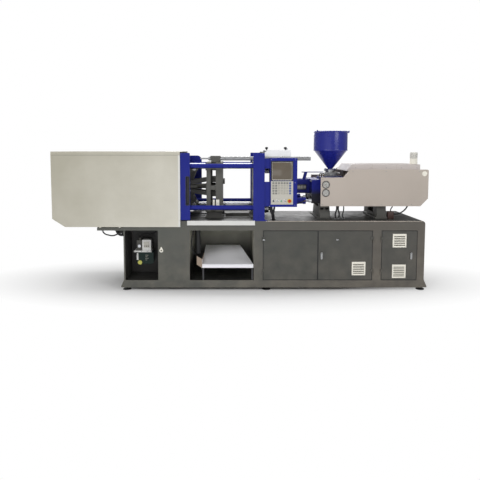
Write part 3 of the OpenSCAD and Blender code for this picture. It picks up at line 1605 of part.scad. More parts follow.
module hoses() {
  shelf_low = shelf_top - shelf_t - seat;
  bay_top = liner_high - seat;
  bed = base_top + seat;
  color(black) {
    // Cable bundles from the panel box into the bed
    hose([398, -455, panel_z0 - seat], [[398, -455, panel_z0 - 12], [402, -450, 1060], [426, -428, 1000],
      [430, -420, base_top - 6]], 44);
    hose([440, -470, panel_z0 - seat], [[440, -470, panel_z0 - 12], [430, -466, 1050], [414, -452, 1000],
      [422, -440, base_top - 6]], 30);
    // Loops under the shelf
    hose([-1870, -512, shelf_low], [[-1870, -512, shelf_low - 8], [-1846, -512, 764], [-1790, -512, 742],
      [-1730, -512, 736], [-1680, -512, 752], [-1636, -512, 770], [base_x0 - seat, -512, 770]], 18, 3);
    hose([-1690, -480, shelf_low], [[-1690, -480, shelf_low - 8], [-1680, -480, 772], [-1640, -480, 740],
      [base_x0 - 14, -480, 738], [base_x0 - 0.5, -480, 738]], 34, 3);
    // Duct and cable loop in the chute bay
    tube([[-605, -330, bay_top], [-605, -330, 640], [-606, -330, 460]], 78, 12);
    hose([-656, -430, bay_top], [[-656, -430, bay_top - 8], [-672, -428, 700], [-684, -426, 620],
      [-668, -420, 520], [-650, -400, 462], [-645.5, -366, 470]], 16, 3);
    // Pipe of the lubricator
    hose([-1200, -200, bay_top], [[-1200, -200, bay_top - 8], [-1206, -206, 740], [-1260, -230, 712],
      [-1340, -256, 716], [-1394, -276, 708], [-1412, -280, 688], [-1412, -280, 668.8]], 14, 3);
    // Hoses from the bed up to the injection unit
    hose([1290, -370, bed], [[1290, -370, bed + 8], [1284, -372, 1010], [1300, -376, 1080],
      [1296, -378, 1150]], 22);
    hose([1330, -344, bed], [[1330, -344, bed + 8], [1344, -346, 1000], [1326, -350, 1070],
      [1334, -352, 1150]], 22);
    hose([1400, -330, bed], [[1400, -330, bed + 8], [1392, -330, 990], [1404, -336, 1060],
      [1400, -340, 1150]], 16);
    hose([2060, -300, 1036.3], [[2060, -300, 1046], [2062, -320, 1080], [2070, -346, 1110],
      [2066, -356, 1150]], 14);
    hose([2100.6, -300, 1000], [[2110, -300, 1000], [2160, -306, 1004], [2210, -320, 1030],
      [2260, -340, 1084],
      [2290, -350, 1150]], 18);
  }
  // Junction box at the end of the right hose
  color([0.30, 0.16, 0.13]) block([2015, 2100], [-330, -270], [bed, 1036]);
}

base_frame();
level_feet();
pump_unit();
electric_rack();
product_chute();
lubricator();
lubricator_tank();
fixed_platen();
rear_platen();
tie_bars();
tie_bar_nuts();
clamp_cylinder();
door_frame();
sill_strips();
clamp_side_covers();
clamp_roof();
control_box();
control_screen();
control_keypad();
hoses();
injection_guides();
guide_supports();
carriage_cylinders();
front_door();
front_door_pane();
rear_door();
crosshead();
moving_platen();
safety_bar();
ejector_plate();
rear_link_upper();
rear_link_lower();
front_link_upper();
front_link_lower();
short_link_upper();
short_link_lower();
safety_catch();
purge_guard();
stop_button();
cabinet_door_left();
cabinet_door_middle();
cabinet_door_right();
door_latch_middle();
door_latch_right();
injection_housing();
barrel();
heater_bands();
barrel_cover();
injection_cylinders();
injection_side_covers();
injection_hood();
pressure_gauges();
carriage_rods();
hopper_base();
hopper();
signal_lamp();
thrust_plate();
screw();
hopper_lid();
hopper_gate();
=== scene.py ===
"""Dresses the injection moulding machine: finishes, fine shapes, camera and studio."""

import functools
import json
import logging
import math
from contextlib import contextmanager
from dataclasses import dataclass
from enum import Enum
from typing import Callable, Iterator, Sequence

import bpy
from mathutils import Matrix, Vector


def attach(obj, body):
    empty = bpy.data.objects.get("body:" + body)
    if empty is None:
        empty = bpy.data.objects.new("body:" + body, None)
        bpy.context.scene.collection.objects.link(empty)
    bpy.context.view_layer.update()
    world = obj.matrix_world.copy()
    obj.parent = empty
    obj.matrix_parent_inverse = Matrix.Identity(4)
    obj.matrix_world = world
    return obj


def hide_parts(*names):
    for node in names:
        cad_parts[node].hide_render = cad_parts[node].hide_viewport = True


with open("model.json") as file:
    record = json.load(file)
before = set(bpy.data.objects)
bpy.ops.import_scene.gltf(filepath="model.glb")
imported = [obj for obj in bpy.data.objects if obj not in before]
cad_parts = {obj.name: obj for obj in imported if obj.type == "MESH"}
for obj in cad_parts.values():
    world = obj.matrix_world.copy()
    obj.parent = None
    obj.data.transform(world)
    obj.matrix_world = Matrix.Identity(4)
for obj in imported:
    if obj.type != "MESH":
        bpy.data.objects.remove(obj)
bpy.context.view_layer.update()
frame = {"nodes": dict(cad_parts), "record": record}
log = logging.getLogger("machine")

Point = tuple[float, float, float]
Flat = tuple[float, float]
Rgb = tuple[int, int, int]
Piece = bpy.types.Object
Socket = bpy.types.NodeSocket

MM = 0.001
WHITE = (1.0, 1.0, 1.0, 1.0)
SPECK = (0.02, 0.02, 0.018, 1.0)
DUST: Rgb = (150, 142, 128)
EVEN: Point = (1.0, 1.0, 1.0)
STILL: Point = (0.0, 0.0, 0.0)
SMALLEST = 0.01
WELD = 1e-6
MERGE = 1e-5
FLAT_ANGLE = 0.6
BEVEL_ANGLE = 33.0
SMOOTH_ANGLE = 35.0
ROUND_ANGLE = 60.0
COAT_ROUGH = 0.08
SHEET_IOR = 1.3


class Axis(Enum):
    """The direction in which a turned piece or a fastener's head points."""

    X = (0.0, math.pi / 2, 0.0)
    MINUS_X = (0.0, -math.pi / 2, 0.0)
    Y = (-math.pi / 2, 0.0, 0.0)
    MINUS_Y = (math.pi / 2, 0.0, 0.0)
    Z = (0.0, 0.0, 0.0)


class Pick(Enum):
    """What is selected in edit mode."""

    EDGES = (False, True, False)
    FACES = (False, False, True)


SIDES = ((-1, Axis.MINUS_Y, "front"), (1, Axis.Y, "rear"))
HALVES = ((1, "upper"), (-1, "lower"))


def linear(colour: Rgb) -> tuple[float, float, float, float]:
    """A colour on the 0 to 255 scale as Blender's linear colour.

    Args:
        colour: Red, green and blue from 0 to 255.

    Returns:
        Linear red, green, blue and an alpha of one.
    """
    steps = [c / 255 for c in colour]
    values = [s / 12.92 if s <= 0.04045 else ((s + 0.055) / 1.055) ** 2.4 for s in steps]
    return (values[0], values[1], values[2], 1.0)


class Graph:
    """Adds and links the nodes of one material or node group."""

    def __init__(self, tree: bpy.types.NodeTree) -> None:
        """Starts from an empty tree."""
        self.tree = tree
        tree.nodes.clear()

    def feed(self, node: bpy.types.Node, inputs: dict) -> bpy.types.Node:
        """Sets or links a node's inputs, given by name or number."""
        for key, value in inputs.items():
            if isinstance(value, Socket):
                self.tree.links.new(value, node.inputs[key])
            else:
                node.inputs[key].default_value = value
        return node

    def add(self, kind: str, inputs: dict | None = None, **settings: object) -> bpy.types.Node:
        """Adds a node.

        Args:
            kind: The node's type, without the leading ShaderNode.
            inputs: Constants or sockets, by the input's name or number.
            settings: The node's own properties.

        Returns:
            The new node.
        """
        node = self.tree.nodes.new(kind if kind.startswith("NodeGroup") else "ShaderNode" + kind)
        for key, value in settings.items():
            setattr(node, key, value)
        return self.feed(node, inputs or {})

    def group(self, tree: bpy.types.NodeTree, inputs: dict) -> dict[str, Socket]:
        """The outputs of a shared node group placed in this graph."""
        return self.add("Group", inputs, node_tree=tree).outputs

    def noise(self, vector: Socket, scale: object, detail: float = 3.0) -> Socket:
        """A noise value between zero and one."""
        return self.add("TexNoise", {"Vector": vector, "Scale": scale, "Detail": detail}).outputs["Fac"]

    def spread(self, value: Socket, span: Sequence, to: Flat = (0.0, 1.0)) -> Socket:
        """Stretches a value from one span to another and clamps it."""
        inputs = {"Value": value, 1: span[0], 2: span[1], 3: to[0], 4: to[1]}
        return self.add("MapRange", inputs).outputs["Result"]

    def blend(self, share: object, first: object, second: object) -> Socket:
        """Mixes two colours."""
        return self.add("Mix", {0: share, 6: first, 7: second}, data_type="RGBA").outputs[2]

    def maths(self, way: str, first: object, second: object) -> Socket:
        """One step of arithmetic, clamped to between zero and one where it adds."""
        return self.add("Math", {0: first, 1: second}, operation=way, use_clamp=way == "ADD").outputs[0]

    def vector(self, way: str, place: Socket, by: object = STILL) -> dict[str, Socket]:
        """The outputs of one step of vector arithmetic."""
        return self.add("VectorMath", {0: place, 1: by}, operation=way).outputs


FLOAT, COLOUR, VECTOR = "NodeSocketFloat", "NodeSocketColor", "NodeSocketVector"


def effect(name: str, inputs: dict[str, str], outputs: dict[str, str]) -> Callable:
    """Makes a node group that finishes share, built once, of a function that fills its graph.

    Args:
        name: The group's name.
        inputs: Socket types by socket name.
        outputs: Socket types by socket name.

    Returns:
        The decorator; what it makes gives the node group.
    """

    def wrap(fill: Callable[[Graph, dict, Socket], dict[str, Socket]]) -> Callable[[], bpy.types.NodeTree]:
        @functools.cache
        def made() -> bpy.types.NodeTree:
            tree = bpy.data.node_groups.new(name, "ShaderNodeTree")
            for way, sockets in (("INPUT", inputs), ("OUTPUT", outputs)):
                for label, kind in sockets.items():
                    tree.interface.new_socket(label, in_out=way, socket_type=kind)
            graph = Graph(tree)
            given = graph.add("NodeGroupInput").outputs
            place = graph.add("TexCoord").outputs["Object"]
            graph.add("NodeGroupOutput", fill(graph, given, place))
            return tree

        return made

    return wrap


@effect("patchy coat", {"Colour": COLOUR, "Faded": COLOUR, "Drift": VECTOR, "Offset": FLOAT,
                        "Patch Scale": FLOAT, "Speck Scale": FLOAT, "Speck Depth": FLOAT},
        {"Colour": COLOUR, "Mask": FLOAT})
def patchy(graph: Graph, given: dict, place: Socket) -> dict[str, Socket]:
    """Two tones of one coat, mixed by random patches and by a gradient along a direction that is painted
    light and shade, with fine specks.
    """
    # Painted light: distance along the drift direction shades the coat from its darker colour to its lit
    # tone.
    along = graph.vector("DOT_PRODUCT", place, given["Drift"])["Value"]
    patches = graph.spread(graph.noise(place, given["Patch Scale"]), (0.3, 0.7), (-0.13, 0.13))
    mask = graph.maths("ADD", graph.maths("ADD", along, given["Offset"]), patches)
    tone = graph.blend(mask, given["Colour"], given["Faded"])
    specks = graph.spread(graph.noise(place, given["Speck Scale"], 1.0), (0.62, 0.74))
    share = graph.maths("MULTIPLY", specks, given["Speck Depth"])
    return {"Colour": graph.blend(share, tone, SPECK), "Mask": mask}


@effect("surface grain", {"Scale": FLOAT, "Stretch": VECTOR}, {"Height": FLOAT, "Mask": FLOAT})
def grain(graph: Graph, given: dict, place: Socket) -> dict[str, Socket]:
    """A fine surface: orange peel where it is even, brush lines where it is stretched."""
    drawn = graph.vector("MULTIPLY", place, given["Stretch"])[0]
    broad = graph.noise(place, 9.0, 4.0)
    return {"Height": graph.noise(drawn, given["Scale"], 2.0), "Mask": graph.spread(broad, (0.35, 0.68))}


@effect("sand skin", {"Scale": FLOAT}, {"Height": FLOAT})
def sand(graph: Graph, given: dict, place: Socket) -> dict[str, Socket]:
    """The pitted skin of a sand casting under its paint."""
    cells = graph.add("TexVoronoi", {"Vector": place, "Scale": given["Scale"]}).outputs["Distance"]
    return {"Height": graph.maths("MULTIPLY", cells, graph.noise(place, given["Scale"], 5.0))}


@effect("floor dust", {"Top": FLOAT, "Strength": FLOAT}, {"Mask": FLOAT})
def dust(graph: Graph, given: dict, place: Socket) -> dict[str, Socket]:
    """Grime that gathers towards the floor, as a mask."""
    height = graph.add("SeparateXYZ", {0: place}).outputs["Z"]
    low = graph.spread(height, (0.0, given["Top"]), (1.0, 0.0))
    cloud = graph.spread(graph.noise(place, 6.0, 6.0), (0.3, 0.75))
    return {"Mask": graph.maths("MULTIPLY", graph.maths("MULTIPLY", low, cloud), given["Strength"])}


@dataclass(frozen=True)
class Finish:
    """A surface finish. Each kind says in dress() which nodes make it."""

    name: str
    colour: Rgb
    # The second tone. Random patches mix it in, and where a paint has a gradient it is the lit end of the
    # painted light.
    faded: Rgb
    rough: float = 0.5

    def material(self) -> bpy.types.Material:
        """The finish as a material, made at its first use."""
        known = bpy.data.materials.get(self.name)
        if known:
            return known
        made = bpy.data.materials.new(self.name)
        made.use_nodes = True
        graph = Graph(made.node_tree)
        shader = graph.add("BsdfPrincipled")
        self.dress(graph, shader)
        graph.add("OutputMaterial", {"Surface": shader.outputs[0]})
        return made

    def dress(self, graph: Graph, shader: bpy.types.Node) -> None:
        """Sets the shader's sockets; each kind of finish has its own way."""
        raise NotImplementedError

    def tones(self, graph: Graph, offset: float, scales: Flat, specks: float,
              drift: Point = STILL) -> dict[str, Socket]:
        """The two-tone group with this finish's colours and its gradient of painted light and shade."""
        return graph.group(patchy(), {
            "Colour": linear(self.colour), "Faded": linear(self.faded), "Drift": drift, "Offset": offset,
            "Patch Scale": scales[0], "Speck Scale": scales[1], "Speck Depth": specks})

    def roughen(self, graph: Graph, shader: bpy.types.Node, mask: Socket, swing: float) -> None:
        """Lets the roughness vary over the surface by the mask."""
        span = (max(self.rough - swing, 0.02), min(self.rough + swing, 1.0))
        graph.feed(shader, {"Roughness": graph.spread(mask, (0.0, 1.0), span)})

    def bump(self, graph: Graph, shader: bpy.types.Node, height: Socket, strength: float) -> None:
        """Raises the surface by a height."""
        raised = graph.add("Bump", {"Height": height, "Strength": strength, "Distance": MM})
        graph.feed(shader, {"Normal": raised.outputs[0]})

    def fine(self, graph: Graph, shader: bpy.types.Node, scale: float, swing: float, strength: float,
             stretch: Point = EVEN) -> None:
        """Roughness and bump from the shared grain."""
        made = graph.group(grain(), {"Scale": scale, "Stretch": stretch})
        self.roughen(graph, shader, made["Mask"], swing)
        if strength:
            self.bump(graph, shader, made["Height"], strength)


@dataclass(frozen=True)
class Paint(Finish):
    """Powder coat or enamel, patchy, with orange peel, floor dust and a gradient of painted light and shade.
    """

    coat: float = 0.0
    gloss: float = 0.5
    peel: float = 0.25
    peel_scale: float = 420.0
    # Direction and rate per metre of a gradient of painted light and shade across the part.
    drift: Point = STILL
    offset: float = 0.5
    dust: float = 0.0

    def dress(self, graph: Graph, shader: bpy.types.Node) -> None:
        """Two-tone coat with painted light and shade along its gradient, dusty towards the floor."""
        tone = self.tones(graph, self.offset, (2.6, 260.0), 0.12, self.drift)
        dusty = graph.group(dust(), {"Top": 1.0, "Strength": self.dust})
        colour = graph.blend(dusty["Mask"], tone["Colour"], linear(DUST))
        graph.feed(shader, {"Base Color": colour, "Specular IOR Level": self.gloss,
                            "Coat Weight": self.coat, "Coat Roughness": COAT_ROUGH})
        self.fine(graph, shader, self.peel_scale, 0.07, self.peel)


@dataclass(frozen=True)
class Casting(Finish):
    """Painted sand casting, pitted."""

    pit_scale: float = 160.0
    pit: float = 0.6

    def dress(self, graph: Graph, shader: bpy.types.Node) -> None:
        """Pitted coat with oily darker patches."""
        tone = self.tones(graph, 0.5, (5.0, 180.0), 0.3)
        graph.feed(shader, {"Base Color": tone["Colour"]})
        self.roughen(graph, shader, tone["Mask"], 0.12)
        self.bump(graph, shader, graph.group(sand(), {"Scale": self.pit_scale})["Height"], self.pit)


@dataclass(frozen=True)
class Metal(Finish):
    """Bare metal with turning or brush lines across the stretched direction."""

    stretch: Point = (1.0, 14.0, 14.0)
    lines: float = 0.15
    scale: float = 60.0

    def dress(self, graph: Graph, shader: bpy.types.Node) -> None:
        """Metal, slightly stained, with fine lines."""
        tone = self.tones(graph, 0.35, (7.0, 140.0), 0.1)
        graph.feed(shader, {"Base Color": tone["Colour"], "Metallic": 1.0})
        self.fine(graph, shader, self.scale, 0.08, self.lines, self.stretch)


@dataclass(frozen=True)
class Moulded(Finish):
    """Moulded plastic or rubber with a fine spark-eroded grain."""

    grain: float = 0.3
    grain_scale: float = 900.0
    sheen: float = 0.0

    def dress(self, graph: Graph, shader: bpy.types.Node) -> None:
        """Matt grained plastic, or rubber with a little sheen."""
        tone = self.tones(graph, 0.4, (12.0, 500.0), 0.1)
        graph.feed(shader, {"Base Color": tone["Colour"], "Sheen Weight": self.sheen})
        self.fine(graph, shader, self.grain_scale, 0.06, self.grain)


@dataclass(frozen=True)
class Clear(Finish):
    """Polycarbonate, glass or a translucent moulding, faintly smeared."""

    passing: float = 1.0
    alpha: float = 1.0

    def dress(self, graph: Graph, shader: bpy.types.Node) -> None:
        """Clear sheet whose smears change its roughness."""
        tone = self.tones(graph, 0.4, (4.0, 300.0), 0.0)
        graph.feed(shader, {"Base Color": tone["Colour"], "Transmission Weight": self.passing,
                            "IOR": SHEET_IOR, "Alpha": self.alpha})
        self.fine(graph, shader, 30.0, 0.04, 0.0)


# Painted light: the base grey lightens towards the right end.
BASE_GREY = Paint("base grey coat", (80, 82, 77), (91, 85, 78), 0.55,
                  peel=0.5, drift=(0.22, 0.0, 0.0), offset=0.3, dust=0.35)
# Painted shade: a darker grey for the bed top and the inside of the left recess.
BED_SHADE_GREY = Paint("bed grey coat", (46, 46, 45), (57, 55, 53), 0.45, peel=0.5)
GUARD_BLUE = Paint("guard blue enamel", (24, 33, 126), (37, 46, 137), 0.42,
                   gloss=0.15, peel=0.2, peel_scale=160.0)
HOPPER_BLUE = Paint("hopper blue enamel", (26, 33, 130), (38, 46, 144), 0.3,
                    coat=0.4, gloss=0.35, peel=0.15, peel_scale=90.0)
# Painted shadow: near black below about 1.28 m, the housing's blue above.
HOUSING_SHADED_COAT = Paint("housing coat, dark below", (34, 34, 36), (24, 33, 126), 0.42,
                     gloss=0.15, drift=(0.0, 0.0, 12.0), offset=-15.3)
# Painted light: darker at the upper left, lighter at the lower right.
COVER_BEIGE = Paint("cover beige coat", (180, 176, 160), (222, 219, 208),
                    peel=0.4, drift=(0.32, 0.0, -0.3), offset=1.3)
# Painted light: lighter towards the left and the top.
SIDE_BEIGE = Paint("injection cover beige coat", (179, 169, 159), (195, 184, 174),
                   peel=0.4, drift=(-0.2, 0.0, 0.3), offset=0.3)
HOOD_BEIGE = Paint("hood beige coat", (202, 194, 191), (209, 202, 198), 0.45, peel=0.3)
# Painted light: the leaves lighten towards the right end.
LEAF_GREY = Paint("cabinet leaf coat", (66, 67, 63), (76, 73, 69), 0.55,
                  peel=0.5, drift=(0.3, 0.0, 0.0), offset=-0.2, dust=0.25)
PALE_COAT = Paint("pale grey coat", (226, 226, 222), (214, 214, 212), 0.45, peel=0.3)
GUARD_PALE = Paint("purge guard coat", (204, 205, 208), (212, 213, 215), 0.4, peel=0.2)
TRAY_WHITE = Paint("tray white coat", (243, 243, 249), (248, 248, 252), 0.35, peel=0.2)
# Painted shade: near black at the bottom of the chute bay below about 0.3 m, blending to the liner's grey by
# about 0.6 m.
CHUTE_LINER_SHADED = Paint("chute liner coat", (34, 34, 32), (172, 171, 158),
                    peel=0.4, drift=(0.0, 0.0, 3.2), offset=-0.95)
JUNCTION_BROWN = Paint("junction box coat", (66, 46, 42), (76, 52, 46))
CAST_GREY = Casting("platen grey casting", (78, 78, 75), (91, 90, 84), 0.55)
LINK_GREY = Casting("link grey casting", (58, 58, 58), (74, 73, 70))
GROUND_STEEL = Metal("ground steel", (150, 151, 152), (176, 177, 178), 0.32)
TURNED_STEEL = Metal("turned steel", (132, 132, 132), (160, 160, 160), 0.35, stretch=(16.0, 1.0, 1.0))
CHROME = Metal("hard chrome", (196, 198, 202), (214, 216, 220), 0.14, lines=0.05)
DARK_STEEL = Metal("oiled dark steel", (70, 70, 72), (92, 92, 94), 0.42)
# Painted highlight: a pale steel for the strip on the bed's front edge.
EDGE_HIGHLIGHT_STEEL = Metal("bed edge steel", (176, 166, 156), (190, 182, 172), 0.3, lines=0.08)
MICA = Metal("heater band steel", (138, 128, 112), (160, 152, 138), 0.4)
BRASS = Metal("brass fitting", (176, 140, 70), (196, 160, 88), 0.3, stretch=EVEN)
BLACK_RUBBER = Moulded("black hose rubber", (22, 22, 24), (34, 34, 36), 0.6, sheen=0.1)
BLACK_PLASTIC = Moulded("black plastic", (26, 26, 28), (36, 36, 38), 0.45)
GREY_PLASTIC = Moulded("panel grey plastic", (190, 187, 177), (200, 197, 188))
KEY_PLASTIC = Moulded("key plastic", (172, 170, 160), (184, 181, 172), 0.45)
BLUE_KEYS = Moulded("blue key plastic", (72, 92, 150), (84, 104, 160), 0.45)
GREY_KEYS = Moulded("grey key plastic", (128, 128, 124), (140, 140, 136), 0.45)
RED_PLASTIC = Moulded("stop red plastic", (188, 28, 22), (206, 40, 30), 0.35)
STOP_YELLOW = Moulded("stop ring yellow", (222, 188, 40), (230, 198, 60), 0.45)
LIGHT_GREEN = Moulded("green lens plastic", (70, 150, 84), (92, 170, 104), 0.25)
YELLOW_PLASTIC = Moulded("sight yellow plastic", (206, 204, 90), (216, 214, 120), 0.3)
CREAM_PLASTIC = Moulded("vent cream plastic", (240, 236, 223), (246, 243, 232))
DIAL_WHITE = Moulded("dial white", (150, 147, 138), (162, 159, 150))
NEEDLE_RED = Moulded("needle red", (176, 30, 26), (190, 40, 34), 0.4)
TAN_SHEET = Moulded("tan side rail", (150, 132, 116), (162, 146, 130), 0.6)
TANK_GREEN = Clear("green oil tank", (18, 40, 36), (26, 54, 48), 0.16, passing=0.25)
PANE = Clear("door pane", (232, 238, 240), (224, 232, 236), 0.06, passing=0.9, alpha=0.3)
GLAZING = Clear("gauge glazing", (240, 242, 242), (244, 246, 246), 0.05, passing=0.0, alpha=0.1)
LAMP_CLEAR = Clear("lamp lens", (226, 224, 216), (236, 234, 228), 0.3, passing=0.3)
SCREEN_GLASS = Clear("screen glass", (96, 88, 78), (118, 110, 98), 0.12, passing=0.0)


# Modelling with Blender's operators


def activate(*pieces: Piece) -> None:
    """Selects these objects alone; the last one is active."""
    bpy.ops.object.select_all(action="DESELECT")
    for piece in pieces:
        piece.select_set(True)
        bpy.context.view_layer.objects.active = piece


def settle(piece: Piece) -> Piece:
    """Puts a piece's place, turn and scale into its mesh."""
    activate(piece)
    bpy.ops.object.transform_apply(location=True, rotation=True, scale=True)
    return piece


@contextmanager
def editing(piece: Piece, pick: Pick = Pick.FACES) -> Iterator[None]:
    """Edit mode on one piece, with everything selected at the start.

    Args:
        piece: The object to edit.
        pick: What is selected.

    Returns:
        Nothing; the mode ends with the block.
    """
    activate(piece)
    bpy.context.tool_settings.mesh_select_mode = pick.value
    bpy.ops.object.mode_set(mode="EDIT")
    bpy.ops.mesh.select_all(action="SELECT")
    yield
    bpy.ops.object.mode_set(mode="OBJECT")


def smooth(piece: Piece, angle: float = SMOOTH_ANGLE) -> Piece:
    """Shades smooth up to an angle in degrees."""
    activate(piece)
    bpy.ops.object.shade_smooth_by_angle(angle=math.radians(angle))
    return piece


def closed(piece: Piece, angle: float = SMOOTH_ANGLE) -> Piece:
    """Merges doubles, turns every face outwards and shades smooth."""
    with editing(piece):
        bpy.ops.mesh.remove_doubles(threshold=WELD)
        bpy.ops.mesh.normals_make_consistent(inside=False)
    return smooth(piece, angle)


def soften(piece: Piece, width: float) -> None:
    """Rounds the edges with a bevel and keeps the flat faces flat.

    Args:
        piece: The object to round.
        width: Width of the bevel in millimetres.
    """
    bevel = piece.modifiers.new("edge", "BEVEL")
    bevel.width = width * MM
    bevel.segments = 2
    bevel.limit_method = "ANGLE"
    bevel.angle_limit = math.radians(BEVEL_ANGLE)
    bevel.use_clamp_overlap = True
    activate(piece)
    bpy.ops.object.modifier_apply(modifier=bevel.name)
    smooth(piece)
    weighted = piece.modifiers.new("flat", "WEIGHTED_NORMAL")
    weighted.keep_sharp = True
    bpy.ops.object.modifier_apply(modifier=weighted.name)


def linked(name: str, data: bpy.types.ID) -> Piece:
    """A new object in the scene from a mesh or a curve."""
    piece = bpy.data.objects.new(name, data)
    bpy.context.scene.collection.objects.link(piece)
    return piece


def meshed(name: str, curve: bpy.types.Curve) -> Piece:
    """A curve as a mesh."""
    activate(linked(name, curve))
    bpy.ops.object.convert(target="MESH")
    return bpy.context.active_object


def joined(name: str, parts: Sequence[Piece]) -> Piece:
    """Several pieces as one."""
    activate(*parts)
    bpy.ops.object.join()
    piece = bpy.context.active_object
    piece.name = name
    return piece


def box_piece(name: str, low: Point, high: Point, edge: float = 1.0, steps: int = 2) -> Piece:
    """A block with rounded edges between two corners, all in millimetres."""
    middle = [(a + b) / 2 * MM for a, b in zip(low, high)]
    size = [(b - a) * MM for a, b in zip(low, high)]
    bpy.ops.mesh.primitive_cube_add(size=1, location=middle, scale=size)
    piece = settle(bpy.context.active_object)
    piece.name = name
    if edge:
        with editing(piece, Pick.EDGES):
            bpy.ops.mesh.bevel(offset=edge * MM, segments=steps, affect="EDGES")
    return smooth(piece)


def boxes(name: str, corners: Sequence[tuple[Point, Point]], edge: float) -> Piece:
    """Blocks between pairs of corners, as one piece."""
    return joined(name, [box_piece(name, low, high, edge) for low, high in corners])


def turned(name: str, rings: Sequence[Flat], at: Point, axis: Axis, sides: int = 40) -> Piece:
    """A piece turned from rings of radius and distance along its axis, in millimetres.

    Args:
        name: The piece's name.
        rings: Radius and distance of each ring; a radius of zero closes to a point.
        at: Where distance zero lies.
        axis: The direction of the axis.
        sides: Facets round it.

    Returns:
        The closed piece.
    """
    radius, level = max(rings[0][0], SMALLEST), rings[0][1]
    bpy.ops.mesh.primitive_circle_add(vertices=sides, radius=radius * MM, location=(0, 0, level * MM))
    piece = settle(bpy.context.active_object)
    piece.name = name
    with editing(piece, Pick.EDGES):
        bpy.ops.mesh.edge_face_add()
        bpy.ops.mesh.select_all(action="SELECT")
        for width, distance in rings[1:]:
            bpy.ops.mesh.extrude_region_move(
                TRANSFORM_OT_translate={"value": (0.0, 0.0, (distance - level) * MM)})
            ratio = max(width, SMALLEST) / radius
            bpy.ops.transform.resize(value=(ratio, ratio, 1.0))
            radius, level = max(width, SMALLEST), distance
    piece.rotation_euler = axis.value
    piece.location = [c * MM for c in at]
    return closed(settle(piece))


def rounds(name: str, rings: Sequence[Flat], places: Sequence[Point], axis: Axis, sides: int) -> Piece:
    """Turned pieces of one shape at several places, as one piece."""
    return joined(name, [turned(name, rings, at, axis, sides) for at in places])


def plate(name: str, outlines: Sequence[Sequence[Flat]], y: Flat, edge: float = 0.8) -> Piece:
    """A plate in the XZ plane between two depths y, in millimetres.

    Args:
        name: The piece's name.
        outlines: Closed outlines, the inner ones being holes.
        y: Nearest and farthest depth.
        edge: Width of the rounding.

    Returns:
        The closed plate.
    """
    data = bpy.data.curves.new(name, "CURVE")
    data.dimensions = "2D"
    data.fill_mode = "BOTH"
    data.extrude = ((y[1] - y[0]) / 2 - edge) * MM
    data.bevel_depth = edge * MM
    data.bevel_resolution = 1
    data.offset = -edge * MM
    for outline in outlines:
        spline = data.splines.new("POLY")
        spline.points.add(len(outline) - 1)
        for point, (x, z) in zip(spline.points, outline):
            point.co = (x * MM, z * MM, 0.0, 1.0)
        spline.use_cyclic_u = True
    piece = meshed(name, data)
    piece.rotation_euler = Axis.MINUS_Y.value
    piece.location = (0.0, (y[0] + y[1]) / 2 * MM, 0.0)
    return closed(settle(piece))


def round_outline(x: Flat, z: Flat, radius: float, steps: int = 6) -> list[Flat]:
    """A rectangle with round corners."""
    points = []
    for right, high, start in ((1, 1, 0), (0, 1, 90), (0, 0, 180), (1, 0, 270)):
        mx = x[right] - radius * (2 * right - 1)
        mz = z[high] - radius * (2 * high - 1)
        for k in range(steps + 1):
            a = math.radians(start + 90 * k / steps)
            points.append((mx + radius * math.cos(a), mz + radius * math.sin(a)))
    return points


def rim(name: str, x: Flat, z: Flat, growth: Flat, radii: Flat, y: Flat, edge: float = 0.6) -> Piece:
    """A rim round a window.

    Args:
        name: The piece's name.
        x: The window's sides.
        z: The window's lower and upper edge.
        growth: How far the outer and the inner outline stand out from it.
        radii: The corners' radii of both.
        y: Nearest and farthest depth.
        edge: Width of the rounding.

    Returns:
        The closed rim.
    """
    return plate(name, [round_outline((x[0] - g, x[1] + g), (z[0] - g, z[1] + g), r)
                        for g, r in zip(growth, radii)], y, edge)


def wire(name: str, points: Sequence[Point], radius: float, sides: int = 3) -> Piece:
    """A hose or cable along a smooth curve through points, in millimetres, with closed ends."""
    data = bpy.data.curves.new(name, "CURVE")
    data.dimensions = "3D"
    data.bevel_depth = radius * MM
    data.bevel_resolution = sides
    data.use_fill_caps = True
    data.resolution_u = 8
    spline = data.splines.new("BEZIER")
    spline.bezier_points.add(len(points) - 1)
    for knot, place in zip(spline.bezier_points, points):
        knot.co = [c * MM for c in place]
        knot.handle_left_type = knot.handle_right_type = "AUTO"
    return closed(meshed(name, data), ROUND_ANGLE)


def tinted(piece: Piece, finish: Finish) -> Piece:
    """Gives a piece its finish before it is joined to others."""
    piece.data.materials.append(finish.material())
    return piece


def finished(piece: Piece, finish: Finish, body: str = "root") -> Piece:
    """Gives a piece its finish and the body it rides on."""
    tinted(piece, finish)
    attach(piece, body)
    return piece


class Fixing(Enum):
    """Kinds of fastener: rings in units of the head's radius, and the facets round it."""

    SOCKET = (((1.0, -0.1), (1.0, 0.85), (0.86, 1.0), (0.58, 1.0), (0.52, 0.4), (0.0, 0.4)), 16)
    HEX = (((1.0, -0.1), (1.0, 0.58), (0.88, 0.7), (0.0, 0.7)), 6)
    PAN = (((1.0, -0.1), (0.96, 0.22), (0.72, 0.5), (0.34, 0.58), (0.3, 0.3), (0.0, 0.3)), 14)
    NIPPLE = (((1.0, -0.1), (1.0, 0.5), (0.6, 0.7), (0.6, 1.4), (0.85, 1.7), (0.4, 2.2), (0.0, 2.2)), 10)

    def head(self, name: str, at: Point, axis: Axis, radius: float) -> Piece:
        """One fastener whose head meets its surface at a place."""
        shape, sides = self.value
        return turned(name, [(r * radius, h * radius) for r, h in shape], at, axis, sides)


